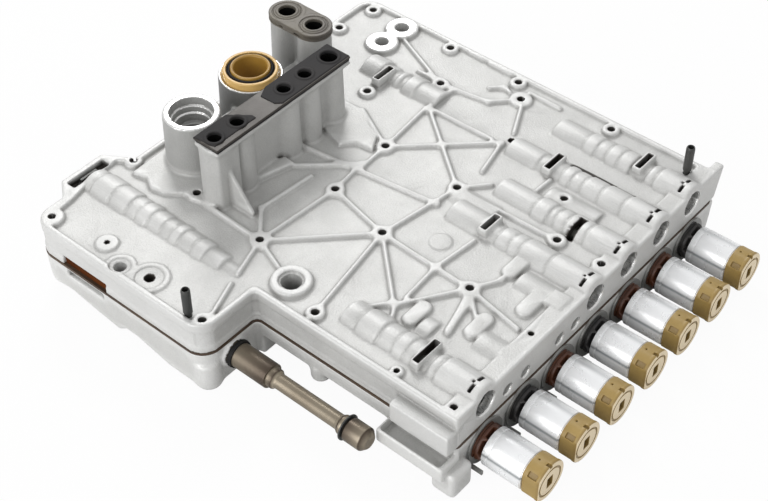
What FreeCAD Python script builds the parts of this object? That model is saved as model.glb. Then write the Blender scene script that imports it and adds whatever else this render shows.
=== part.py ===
import FreeCAD, Part
import math
import os
import Sketcher

doc = FreeCAD.newDocument("ValveBody")
sheet = doc.addObject("Spreadsheet::Sheet", "Sizes")

# Driving sizes in millimetres. X runs along the valve bores towards the solenoids,
# Y along the row of solenoids and Z up from the joint between the two castings.
sizes = {
    "face_x": 125.0,
    "notch_y": -92.0,
    "base_depth": 25.0,
    "plate_thickness": 1.6,
    "rim_height": 20.6,
    "web_depth": 3.2,
    "rim_width": 4.0,
    "rail_width": 13.0,
    "body_length": 244.0,
    "body_width": 221.0,
    "wing_reach": 250.0,
    "wing_depth": 37.0,
    "wing_edge": 127.0,
    "bulge_reach": 260.0,
    "bulge_front": 8.0,
    "bulge_back": 20.0,
    "bulge_shoulder": 10.0,
    "bulge_notch": 8.0,
    "corner_radius": 11.0,
    "edge_radius": 3.0,
    "boss_radius": 4.8,
    "blind_boss_radius": 7.3,
    "screw_radius": 2.4,
    "screw_clearance": 0.15,
    "rib_width": 2.2,
    "rib_drop": 0.5,
    "valve_height": 13.2,
    "valve_bore": 5.0,
    "spool_clearance": 0.04,
    "spool_length": 34.0,
    "spool_gap": 0.3,
    "spool_land": 11.9,
    "spool_waist": 1.8,
    "mouth_bore": 6.9,
    "mouth_depth": 12.0,
    "fit_clearance": 0.05,
    "spring_length": 16.0,
    "spring_wire": 0.8,
    "spring_gap": 0.3,
    "spring_side_gap": 0.6,
    "hump_radius": 10.6,
    "hump_step": 0.9,
    "ear_reach": 7.4,
    "ear_foot": 2.2,
    "ear_width": 5.5,
    "small_bore": 3.3,
    "small_bore_height": 8.0,
    "small_bore_depth": 9.0,
    "small_plug_inset": 3.0,
    "small_plug_length": 5.0,
    "slot_width": 3.0,
    "slot_length": 15.0,
    "slot_collar": 1.6,
    "slot_collar_rise": 1.2,
    "retainer_thickness": 1.4,
    "retainer_width": 11.0,
    "retainer_neck": 4.4,
    "retainer_drop": 1.2,
    "solenoid_pitch": 29.5,
    "solenoid_first": 21.7,
    "solenoid_depth": 12.5,
    "nose_radius": 8.0,
    "nose_length": 18.0,
    "clip_thickness": 1.2,
    "clip_radius": 13.0,
    "clip_reach": 9.0,
    "clip_arm": 2.5,
    "clip_drop": 6.5,
    "collar_radius": 11.8,
    "collar_length": 6.0,
    "can_radius": 10.6,
    "can_length": 22.7,
    "cap_radius": 10.9,
    "cap_length": 9.8,
    "cap_flat": 9.0,
    "socket_width": 4.6,
    "socket_height": 7.2,
    "socket_depth": 5.0,
    "manual_y": -17.0,
    "manual_depth": 9.0,
    "manual_land": 6.8,
    "manual_stem": 4.1,
    "manual_end": 6.3,
    "manual_out": 89.0,
    "manual_end_length": 17.0,
    "manual_land_out": 26.0,
    "manual_inner": 58.0,
    "manual_travel": 24.0,
    "manual_boss_length": 30.0,
    "manual_chamfer": 2.6,
    "manual_end_land": 12.5,
    "manual_collar": 2.0,
    "manual_step": 1.4,
    "manual_step_length": 3.0,
    "manual_waist_start": 14.0,
    "manual_waist_end": 38.0,
    "ring_gap": 0.4,
    "ring_reach": 1.2,
    "ring_groove": 1.2,
    "lip_gap": 2.2,
    "lip_width": 2.4,
    "lip_wall": 1.2,
    "seal_top": 60.0,
    "seal_x": -188.0,
    "seal_start": 31.5,
    "seal_length": 101.0,
    "seal_width": 17.0,
    "seal_thickness": 1.6,
    "rubber_thickness": 1.4,
    "port_radius": 4.2,
    "large_port_radius": 5.2,
    "port_depth": 30.0,
    "tube_radius": 7.6,
    "gusset_front": 38.6,
    "gusset_width": 2.0,
    "gusset_reach": 14.0,
    "gusset_rise": 21.4,
    "tower_wall": 8.0,
    "flange_thickness": 4.0,
    "short_seal_y": 140.2,
    "short_seal_x": -232.8,
    "short_seal_pitch": 19.8,
    "short_seal_radius": 10.3,
    "short_waist_half": 10.2,
    "short_tube_radius": 9.5,
    "short_rubber_thickness": 2.6,
    "post_x": -219.0,
    "front_post_y": 51.5,
    "front_post_top": 52.0,
    "front_post_radius": 15.3,
    "front_post_bore": 11.8,
    "front_post_step": 9.3,
    "front_post_core": 6.8,
    "front_mouth_depth": 5.0,
    "front_step_depth": 14.0,
    "rear_post_y": 96.0,
    "rear_post_top": 51.0,
    "rear_post_radius": 17.6,
    "rear_post_bore": 15.2,
    "rear_bore_depth": 12.0,
    "post_web_start": 2.0,
    "post_web_width": 18.0,
    "post_web_height": 22.0,
    "plinth_front": 24.0,
    "plinth_half": 14.5,
    "plinth_rise": 3.0,
    "rear_plinth_rise": 1.5,
    "sleeve_height": 4.2,
    "sleeve_step": 0.6,
    "sleeve_wall": 1.9,
    "sleeve_seal": 2.2,
    "sleeve_tube": 1.9,
    "pin_radius": 2.4,
    "pin_wall": 0.8,
    "pin_shoulder": 0.6,
    "pin_height": 15.5,
    "pin_seat": 8.0,
    "pin_relief": 0.3,
    "pin_left_x": -141.5,
    "pin_left_y": -31.0,
    "pin_right_x": -13.3,
    "pin_right_y": 212.0,
    "case_bolt_radius": 5.4,
    "case_bolt_x": -118.0,
    "case_bolt_y": 17.0,
    "case_boss_radius": 11.5,
    "bottom_pocket": 7.0,
    "bottom_rim": 5.0,
    "nose_wall": 6.0,
    "screw_head": 4.2,
    "screw_head_height": 4.0,
    "screw_tip_inset": 3.0,
    "screw_seat_gap": 0.6,
    "screw_seat_inset": 0.8,
    "ledge_length": 35.0,
    "ledge_reach": 7.0,
    "ledge_top": 13.5,
    "tray_reach": 12.0,
    "tray_top": 4.0,
    "tray_depth": 13.0,
    "tray_wall": 1.8,
    "tray_floor": 3.0,
    "tray_overhang": 4.0,
    "foot_reach": 6.0,
    "foot_width": 9.0,
    "foot_root": 8.0,
    "notch_wall_depth": 11.0,
    "notch_setback": 12.0,
    "notch_margin": 3.0,
    "notch_boss_x": -86.0,
    "notch_boss_y": 4.0,
    "notch_boss_radius": 5.0,
    "notch_boss_depth": 16.0,
    "wing_cut_depth": 17.0,
    "wing_cut_back": 8.0,
    "wing_cut_right": 196.0,
    "ear_lift": 5.0,
    "window_left": 229.0,
    "window_right": 197.0,
    "window_height": 6.4,
    "window_depth": 14.0,
    "lower_window_depth": 9.0,
    "lower_window_bottom": 6.5,
    "lower_window_height": 4.6,
    "lower_window_inset": 2.5,
    "insert_thickness": 4.0,
}


class Size:
    # a number that keeps the spreadsheet expression it came from
    def __init__(self, value, text):
        self.value = float(value)
        self.text = text

    def __float__(self):
        return self.value

    def __add__(self, other):
        return combine(self, "+", other)

    def __radd__(self, other):
        return combine(other, "+", self)

    def __sub__(self, other):
        return combine(self, "-", other)

    def __rsub__(self, other):
        return combine(other, "-", self)

    def __mul__(self, other):
        return combine(self, "*", other)

    def __rmul__(self, other):
        return combine(other, "*", self)

    def __truediv__(self, other):
        return combine(self, "/", other)

    def __neg__(self):
        return combine(0, "-", self)


def combine(left, sign, right):
    a, b = float(left), float(right)
    if sign == "+":
        value = a + b
    elif sign == "-":
        value = a - b
    elif sign == "*":
        value = a * b
    else:
        value = a / b
    return Size(value, "(%s %s %s)" % (textOf(left), sign, textOf(right)))


def textOf(number):
    return number.text if isinstance(number, Size) else "%.6g" % number


class Names:
    pass


d = Names()
for row, (name, value) in enumerate(sizes.items(), start=1):
    sheet.set("A%d" % row, name)
    sheet.set("B%d" % row, "%.6g" % value)
    sheet.setAlias("B%d" % row, name)
    setattr(d, name, Size(value, "Sizes." + name))
doc.recompute()

plateHalf = d.plate_thickness / 2
webTop = d.rim_height - d.web_depth
nodes = []


def bind(item, path, number):
    item.setExpression(path, textOf(number))


def place(item, x=0.0, y=0.0, z=0.0):
    bind(item, "Placement.Base.x", x)
    bind(item, "Placement.Base.y", y)
    bind(item, "Placement.Base.z", z)


# Finished pieces stand in the frame whose origin is the middle of the base.
def asNode(item, label, x=0.0, y=0.0, z=0.0):
    item.Label = label
    place(item, d.face_x + x, d.notch_y + y, d.base_depth + z)
    nodes.append(item)
    return item


def originPlane(body, role):
    return [item for item in body.Origin.OriginFeatures if item.Role == role][0]


def newSketch(body, name, role, offset=0.0):
    sketch = body.newObject("Sketcher::SketchObject", name)
    sketch.AttachmentSupport = [(originPlane(body, role), "")]
    sketch.MapMode = "FlatFace"
    bind(sketch, "AttachmentOffset.Base.z", offset)
    return sketch


def pinPoint(sketch, item, position, x, y):
    first = sketch.ConstraintCount
    sketch.addConstraint([
        Sketcher.Constraint("DistanceX", -1, 1, item, position, float(x)),
        Sketcher.Constraint("DistanceY", -1, 1, item, position, float(y)),
    ])
    sketch.setExpression("Constraints[%d]" % first, textOf(x))
    sketch.setExpression("Constraints[%d]" % (first + 1), textOf(y))


def addOutline(sketch, corners):
    first = sketch.GeometryCount
    points = [FreeCAD.Vector(float(x), float(y), 0) for x, y in corners]
    lines = [Part.LineSegment(a, b) for a, b in zip(points, points[1:] + points[:1])]
    sketch.addGeometry(lines, False)
    count = len(corners)
    joins = []
    for index in range(count):
        following = first + (index + 1) % count
        joins.append(Sketcher.Constraint("Coincident", first + index, 2, following, 1))
    sketch.addConstraint(joins)
    for index, (x, y) in enumerate(corners):
        pinPoint(sketch, first + index, 1, x, y)


def addCircle(sketch, x, y, radius):
    centre = FreeCAD.Vector(float(x), float(y), 0)
    up = FreeCAD.Vector(0, 0, 1)
    item = sketch.addGeometry(Part.Circle(centre, up, float(radius)), False)
    pinPoint(sketch, item, 3, x, y)
    index = sketch.addConstraint(Sketcher.Constraint("Radius", item, float(radius)))
    sketch.setExpression("Constraints[%d]" % index, textOf(radius))


def pad(body, sketch, name, length, reverse=False):
    feature = body.newObject("PartDesign::Pad", name)
    feature.Profile = sketch
    feature.Reversed = reverse
    bind(feature, "Length", length)
    return feature


def pocket(body, sketch, name, depth, reverse=False):
    feature = body.newObject("PartDesign::Pocket", name)
    feature.Profile = sketch
    feature.Reversed = reverse
    bind(feature, "Length", depth)
    return feature


# A turned piece: profile is (distance along X, radius), closed along the axis.
def turned(name, profile):
    body = doc.addObject("PartDesign::Body", name)
    sketch = newSketch(body, name + "_profile", "XZ_Plane")
    addOutline(sketch, profile)
    turn = body.newObject("PartDesign::Revolution", name + "_turn")
    turn.Profile = sketch
    turn.ReferenceAxis = (sketch, ["H_Axis"])
    turn.Angle = 360
    return body


# Steps run from one end to the other as (end of the step, radius).
def steppedProfile(start, steps):
    profile = [(start, 0)]
    at = start
    for end, radius in steps:
        profile.append((at, radius))
        profile.append((end, radius))
        at = end
    profile.append((at, 0))
    return profile


def hollowProfile(start, end, inner, outer):
    return [(start, inner), (start, outer), (end, outer), (end, inner)]


def prism(name, corners, bottom, height):
    body = doc.addObject("PartDesign::Body", name)
    sketch = newSketch(body, name + "_outline", "XY_Plane", bottom)
    addOutline(sketch, corners)
    pad(body, sketch, name + "_pad", height)
    return body


# A prism along X from an outline given as (y, z).
def sideways(name, corners, start, length):
    body = doc.addObject("PartDesign::Body", name)
    sketch = newSketch(body, name + "_outline", "YZ_Plane", start)
    addOutline(sketch, corners)
    pad(body, sketch, name + "_pad", length)
    return body


def discs(name, circles, bottom, height):
    body = doc.addObject("PartDesign::Body", name)
    sketch = newSketch(body, name + "_circles", "XY_Plane", bottom)
    for x, y, radius in circles:
        addCircle(sketch, x, y, radius)
    pad(body, sketch, name + "_pad", height)
    return body


def rectangle(left, front, right, back):
    return [(left, front), (right, front), (right, back), (left, back)]


def roundVerticalEdges(body, feature, name, corners, radius):
    doc.recompute()
    chosen = []
    for index, edge in enumerate(feature.Shape.Edges, start=1):
        ends = [vertex.Point for vertex in edge.Vertexes]
        if len(ends) != 2 or abs(ends[0].z - ends[1].z) < 1:
            continue
        for x, y in corners:
            near = [math.hypot(p.x - float(x), p.y - float(y)) < 0.01 for p in ends]
            if all(near):
                chosen.append("Edge%d" % index)
    fillet = body.newObject("PartDesign::Fillet", name)
    fillet.Base = (feature, chosen)
    bind(fillet, "Radius", radius)
    return fillet


def joined(name, items):
    fusion = doc.addObject("Part::MultiFuse", name)
    fusion.Shapes = items
    return fusion


def cut(name, base, tool):
    result = doc.addObject("Part::Cut", name)
    result.Base = base
    result.Tool = tool
    result.Refine = True
    return result


# The plan that both castings and the plate between them share.
wingFront = -d.wing_depth
wingCorner = (-d.wing_edge, wingFront)
notchCorner = (-d.wing_edge, 0)
frontCorner = (0, 0)
backCorner = (0, d.body_width)
rearLeft = (-d.body_length, d.body_width)
wingBack = (-d.body_length, d.bulge_back + d.bulge_shoulder)
bulgeBack = (-d.bulge_reach, d.bulge_back)
bulgeFront = (-d.bulge_reach, -d.bulge_front)
wingSide = (-d.wing_reach, -d.bulge_front - d.bulge_notch)
wingLeft = (-d.wing_reach, wingFront)
plan = [wingLeft, wingCorner, notchCorner, frontCorner, backCorner, rearLeft,
        wingBack, bulgeBack, bulgeFront, wingSide]
largeCorners = [wingCorner, rearLeft, wingLeft]
smallCorners = [notchCorner, frontCorner, backCorner, bulgeBack, bulgeFront]


def planBody(name, bottom, height):
    body = prism(name, plan, bottom, height)
    large = roundVerticalEdges(body, body.Tip, name + "_corners", largeCorners, d.corner_radius)
    roundVerticalEdges(body, large, name + "_edges", smallCorners, d.edge_radius)
    return body


# Screw bosses and ribs, as the top of the upper casting shows them.
hub = {
    "wing_front": (-243, -29), "wing_back": (-243, 28), "wing_middle": (-199, 32),
    "wing_corner": (-133, -30), "big_hub": (-150, 28), "notch": (-95, 9),
    "front_hub": (-106, 72), "seal_hub": (-146, 81), "middle": (-148, 124),
    "centre": (-98, 123), "right_hub": (-48, 70), "row_back": (-50, 152),
    "row_front": (-35, 125), "rail": (-8, 125), "back_right": (-63, 214),
    "back_middle": (-126, 214), "rear_hub": (-159, 185), "plate_side": (-186, 153),
    "left_side": (-237, 187), "back_left": (-233, 213), "back_row": (-175, 214),
}
blindBosses = {"wing_blind": (-208, -23), "back_blind": (-116, 203)}
# Case bolt holes beside the large one: (x, y, pad radius, hole radius)
caseBolts = {
    "wing_outer": (-191, -30, 7.0, 3.3), "wing_inner": (-174, -26, 9.0, 2.6),
    "back_outer": (-208.3, 210.1, 9.7, 4.0), "back_inner": (-208.6, 192.3, 9.7, 3.7),
}
rearPlinth = [(-192, 112), (-165, 108), (-153, 118), (-160, 136), (-192, 136)]
screwHubs = ["wing_back", "wing_corner", "big_hub", "front_hub", "middle", "right_hub", "rail",
             "back_right", "back_row", "left_side"]
ribs = [
    ((-150, 28), (-166, 46)), ((-166, 46), (-163, 81)), ((-150, 28), (-146, 81)),
    ((-150, 28), (-106, 72)), ((-150, 28), (-142, 4)), ((-150, 28), (-119, 16)),
    ((-150, 28), (-199, 30)), ((-146, 81), (-106, 72)), ((-146, 81), (-149, 105)),
    ((-182, 96), (-98, 107)), ((-106, 72), (-95, 9)), ((-106, 72), (-72, 40)),
    ((-106, 72), (-48, 70)), ((-106, 72), (-98, 123)), ((-70, 70), (-67, 98)),
    ((-70, 70), (-68, 45)), ((-48, 70), (-69, 38)), ((-69, 38), (-80, 28)),
    ((-48, 70), (-38, 40)), ((-48, 70), (-31, 54)), ((-48, 70), (-14, 64)),
    ((-48, 70), (-40, 84)), ((-98, 123), (-150, 164)), ((-150, 164), (-159, 185)),
    ((-98, 123), (-86, 137)), ((-96, 142), (-102, 167)), ((-98, 123), (-35, 125)),
    ((-148, 124), (-102, 167)), ((-148, 124), (-152, 163)), ((-148, 124), (-178, 140)),
    ((-148, 124), (-147, 103)), ((-146, 165), (-108, 166)), ((-113, 200), (-102, 178)),
    ((-140, -3), (-132, -25)), ((-198, 54), (-170, 42)), ((-159, 185), (-205, 205)),
    ((-159, 185), (-129, 190)), ((-129, 190), (-116, 203)), ((-176, 81), (-149, 105)),
    ((-176, 186), (-166, 186)), ((-40, 86), (-36, 101)), ((-136, 200), (-130, 206)),
    ((-130, 206), (-124, 204)), ((-154, 172), (-151, 179)), ((-151, 179), (-150, 186)),
]
reliefTop = d.rim_height - d.rib_drop
ribRoot = webTop - 2


def ribBetween(start, end):
    along = FreeCAD.Vector(end[0] - start[0], end[1] - start[1], 0)
    half = float(d.rib_width) / 2
    bar = Part.makeBox(along.Length, 2 * half, float(reliefTop - ribRoot), FreeCAD.Vector(0, -half, 0))
    angle = math.degrees(math.atan2(along.y, along.x))
    bar.Placement = FreeCAD.Placement(
        FreeCAD.Vector(start[0], start[1], float(ribRoot)), FreeCAD.Rotation(angle, 0, 0))
    return bar


def ribWeb():
    bars = [ribBetween(start, end) for start, end in ribs]
    web = doc.addObject("Part::Feature", "rib_web")
    web.Shape = bars[0].multiFuse(bars[1:])
    return web


# Stepped humps over the valve bores, from the face inwards: (x, share of a step below full radius).
valveRows = {
    "first": (d.solenoid_first, [(-26, 0), (-44, 0.5), (-61, 1.5), (-84, 3)], -36),
    "fourth": (d.solenoid_first + d.solenoid_pitch * 3, [(-28, 0), (-59, 1), (-72, 0), (-92, 3)], -65),
    "fifth": (d.solenoid_first + d.solenoid_pitch * 4, [(-26, 0), (-44, 1), (-61, 2), (-82, 3)], -35),
    "sixth": (d.solenoid_first + d.solenoid_pitch * 5, [(-24, 0), (-50, 1), (-76, 2), (-97, 3)], -69),
    "seventh": (d.solenoid_first + d.solenoid_pitch * 6, [(-24, 0), (-45, 1), (-60, 2), (-86, 3)], -33),
}
wingSteps = [(-243, 0), (-211, 1), (-203, 2), (-181, 1.5), (-164, 2.5), (-143, 4)]
wingRow = 5.5
rearStart = -203
rearSteps = [(-190, 0), (-176, 1.5), (-170, 0.5), (-149, 0)]
rearRow = 174
rearSlot = (-186.5, 168)


smallBoreYs = [38.8, 52.9, 80.5, 93.7]
springTurns = 4


def hump(name, y, start, steps):
    profile = steppedProfile(start, [(x, d.hump_radius - d.hump_step * drop) for x, drop in steps])
    body = turned(name + "_hump", profile)
    place(body, 0, y, d.valve_height)
    return body


def slotCollar(name, x, y):
    half = d.slot_length / 2 + d.slot_collar
    wide = d.slot_width / 2 + d.slot_collar
    return prism(name + "_collar", rectangle(x - wide, y - half, x + wide, y + half),
                 webTop - 1, d.valve_height + d.hump_radius - webTop + d.slot_collar_rise)


def slotCut(name, x, y):
    half = d.slot_length / 2
    wide = d.slot_width / 2
    return prism(name + "_slot", rectangle(x - wide, y - half, x + wide, y + half),
                 d.valve_height, d.hump_radius * 2)


def smallBores():
    bores = []
    for index, y in enumerate(smallBoreYs):
        profile = steppedProfile(2, [(-d.small_bore_depth, d.small_bore)])
        bore = turned("small_bore_%d" % (index + 1), profile)
        place(bore, 0, y, d.small_bore_height)
        bores.append(bore)
    return bores


def boreEnd(outward):
    return outward * (d.mouth_depth + d.spool_length + d.spring_length)


def boreCut(name, mouth, y, outward):
    inner = mouth - boreEnd(outward)
    shoulder = mouth - outward * d.mouth_depth
    profile = steppedProfile(mouth + outward * 2, [(shoulder, d.mouth_bore), (inner, d.valve_bore)])
    body = turned(name + "_bore", profile)
    place(body, 0, y, d.valve_height)
    return body


def retainerCut(name, mouth, y, outward):
    middle = mouth - outward * (d.rail_width / 2)
    wide = d.retainer_thickness / 2 + d.fit_clearance
    half = d.retainer_width / 2 + d.fit_clearance
    return prism(name + "_retainer_slot", rectangle(middle - wide, y - half, middle + wide, y + half),
                 d.valve_height - d.mouth_bore, d.rim_height)


# Round posts and the towers that carry the seal plates.
portYs = [38.2, 54.5, 89.3, 105.4]
lastPortY = 124.4
longPorts = [(d.seal_x, y, d.port_radius) for y in portYs]
longPorts.append((d.seal_x, lastPortY, d.large_port_radius))
shortPorts = [(d.short_seal_x, d.short_seal_y, d.large_port_radius),
              (d.short_seal_x + d.short_seal_pitch, d.short_seal_y, d.large_port_radius)]
sealBottom = d.seal_top - d.seal_thickness - d.rubber_thickness
sealLeft = d.seal_x - d.seal_width / 2
sealRight = d.seal_x + d.seal_width / 2
sealEnd = d.seal_start + d.seal_length
shortBottom = d.seal_top - d.seal_thickness - d.short_rubber_thickness


# A thin wedge that props the block from the side of the solenoids.
def blockGusset():
    body = doc.addObject("PartDesign::Body", "block_gusset")
    sketch = newSketch(body, "block_gusset_outline", "XZ_Plane", -(d.gusset_front + d.gusset_width))
    foot = sealRight - 2
    addOutline(sketch, [(foot, webTop), (foot + d.gusset_reach, webTop), (foot, webTop + d.gusset_rise)])
    pad(body, sketch, "block_gusset_pad", d.gusset_width)
    return body


def towers():
    rise = sealBottom - webTop
    tubes = discs("port_tubes", [(x, y, d.tube_radius) for x, y, _ in longPorts], webTop, rise)
    wall = prism("port_wall", rectangle(d.seal_x - d.tower_wall / 2, portYs[0],
                                        d.seal_x + d.tower_wall / 2, lastPortY), webTop, rise)
    block = prism("port_block", rectangle(sealLeft + 1, d.seal_start + 1, sealRight - 1,
                                          portYs[0] + d.tube_radius), webTop, rise)
    flange = prism("port_flange", rectangle(sealLeft, d.seal_start, sealRight, sealEnd),
                   sealBottom - d.flange_thickness, d.flange_thickness)
    short = discs("short_tubes", [(x, y, d.short_tube_radius) for x, y, _ in shortPorts],
                  webTop, shortBottom - webTop)
    front = discs("front_post", [(d.post_x, d.front_post_y, d.front_post_radius)], webTop,
                  d.front_post_top - webTop)
    rear = discs("rear_post", [(d.post_x, d.rear_post_y, d.rear_post_radius)], webTop,
                 d.rear_post_top - webTop)
    webLeft = d.post_x + d.post_web_start
    bridge = prism("post_web", rectangle(webLeft, d.front_post_y, webLeft + d.post_web_width,
                                         d.rear_post_y), webTop, d.post_web_height)
    plinth = prism("post_plinth", rectangle(d.post_x - d.plinth_half, d.plinth_front,
                                            d.post_x + d.plinth_half, d.front_post_y),
                   webTop, d.web_depth + d.plinth_rise)
    behind = prism("rear_plinth", rearPlinth, webTop, d.web_depth + d.rear_plinth_rise)
    return [tubes, wall, block, blockGusset(), flange, short, front, rear, bridge, plinth, behind]


def towerCuts():
    ports = discs("port_bores", longPorts, sealBottom - d.port_depth, d.port_depth + 1)
    shortBores = discs("short_bores", shortPorts, shortBottom - d.port_depth, d.port_depth + 1)
    frontMouth = discs("front_mouth", [(d.post_x, d.front_post_y, d.front_post_bore)],
                       d.front_post_top - d.front_mouth_depth, d.front_mouth_depth + 1)
    stepFloor = d.front_post_top - d.front_step_depth
    frontStep = discs("front_step", [(d.post_x, d.front_post_y, d.front_post_step)],
                      stepFloor, d.front_step_depth)
    frontCore = discs("front_core", [(d.post_x, d.front_post_y, d.front_post_core)],
                      webTop, stepFloor - webTop + 1)
    rearBore = discs("rear_bore", [(d.post_x, d.rear_post_y, d.rear_post_bore)],
                     d.rear_post_top - d.rear_bore_depth, d.rear_bore_depth + 1)
    return [ports, shortBores, frontMouth, frontStep, frontCore, rearBore]


def upperShell():
    body = planBody("upper_shell", plateHalf, d.rim_height - plateHalf)
    rim = d.rim_width
    interior = [(-d.wing_reach + rim, wingFront + rim), (-d.wing_edge - rim, wingFront + rim),
                (-d.wing_edge - rim, rim), (-d.rail_width, rim),
                (-d.rail_width, d.body_width - rim), (-d.body_length + rim, d.body_width - rim),
                (-d.body_length + rim, d.bulge_back + d.bulge_shoulder),
                (-d.wing_reach + rim, d.bulge_back)]
    sketch = newSketch(body, "web_outline", "XY_Plane", d.rim_height)
    addOutline(sketch, interior)
    floor = pocket(body, sketch, "web_floor", d.web_depth)
    inner = roundVerticalEdges(body, floor, "web_corners", interior, d.rim_width)
    bosses = newSketch(body, "boss_circles", "XY_Plane", webTop)
    for x, y in hub.values():
        addCircle(bosses, x, y, d.boss_radius)
    for x, y in blindBosses.values():
        addCircle(bosses, x, y, d.blind_boss_radius)
    addCircle(bosses, d.case_bolt_x, d.case_bolt_y, d.case_boss_radius)
    pad(body, bosses, "bosses", d.web_depth)
    return body


# The ear beside the last valve row leans out above the joint and back in below it.
def ear(name, near, far, reach):
    edge = d.body_width - 1
    return sideways(name, [(edge, near), (d.body_width + d.ear_foot, near), (d.body_width + reach, far),
                           (edge, far)], -d.ear_width, d.ear_width)


def upperCasting():
    rows = list(valveRows.items())
    humps = [hump(name, row[0], -1, row[1]) for name, row in rows]
    humps.append(hump("wing", wingRow, -d.bulge_reach + d.rim_width, wingSteps))
    humps.append(hump("rear", rearRow, rearStart, rearSteps))
    collars = [slotCollar(name, row[2], row[0]) for name, row in rows]
    collars.append(slotCollar("rear", *rearSlot))
    ledge = prism("ledge", rectangle(-d.ledge_length, -d.ledge_reach, 0, 4), plateHalf,
                  d.ledge_top - plateHalf)
    pads = [discs(name + "_pad", [(x, y, radius)], webTop - 1, d.web_depth + 1)
            for name, (x, y, radius, _) in caseBolts.items()]
    solid = joined("upper_solid", [upperShell(), ribWeb(), ledge,
                                   ear("upper_ear", plateHalf, d.rim_height, d.ear_reach)]
                   + pads + humps + collars + towers())
    screwHoles = discs("screw_holes", [(x, y, d.screw_radius + d.screw_clearance)
                                       for x, y in hub.values()], 0, d.rim_height + 2)
    caseHoles = discs("case_holes", [(d.case_bolt_x, d.case_bolt_y, d.case_bolt_radius)]
                      + [(x, y, hole) for x, y, _, hole in caseBolts.values()],
                      0, d.rim_height + 2)
    bores = [boreCut(name, 0.0, row[0], 1) for name, row in rows]
    bores.append(boreCut("wing", -d.bulge_reach, wingRow, -1))
    slots = [slotCut(name, row[2], row[0]) for name, row in rows]
    slots.append(slotCut("rear", *rearSlot))
    clips = [retainerCut(name, 0.0, row[0], 1) for name, row in rows]
    clips.append(retainerCut("wing", -d.bulge_reach, wingRow, -1))
    window = prism("upper_window", rectangle(-d.window_left, wingFront - 1, -d.window_right,
                                             wingFront + d.window_depth), 0, d.window_height)
    pinSeat = d.pin_radius - d.pin_shoulder + d.fit_clearance
    pinSeats = discs("pin_seats", [(d.pin_left_x, d.pin_left_y, pinSeat),
                                   (d.pin_right_x, d.pin_right_y, pinSeat)],
                     webTop - d.pin_seat, d.pin_seat + d.web_depth + 1)
    tools = joined("upper_tools", [screwHoles, caseHoles, window, pinSeats] + bores + slots
                   + clips + smallBores() + towerCuts())
    return asNode(cut("upper_casting", solid, tools), "upper_casting")


def separatorPlate():
    body = planBody("separator_plate", -plateHalf, d.plate_thickness)
    sketch = newSketch(body, "plate_holes", "XY_Plane", plateHalf)
    for name in screwHubs:
        addCircle(sketch, hub[name][0], hub[name][1], d.screw_radius + d.screw_clearance)
    addCircle(sketch, d.case_bolt_x, d.case_bolt_y, d.case_bolt_radius)
    pocket(body, sketch, "plate_drilling", d.plate_thickness)
    return asNode(body, "separator_plate")


def solenoidY(index):
    return d.solenoid_first + d.solenoid_pitch * index


def lowerPockets(body):
    sketch = newSketch(body, "bottom_cells", "XY_Plane", -d.base_depth)
    rim = d.bottom_rim
    left = -d.body_length + rim
    right = -d.nose_length - rim - d.nose_wall
    columns = 5
    rows = 5
    width = (right - left) / columns
    front = rim * 3
    depth = (d.body_width - rim - front) / rows
    for column in range(columns):
        for row in range(rows):
            x = left + width * column
            y = front + depth * row
            addOutline(sketch, rectangle(x, y, x + width - rim * 2, y + depth - rim * 2))
    return pocket(body, sketch, "bottom_relief", d.bottom_pocket, reverse=True)


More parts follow.
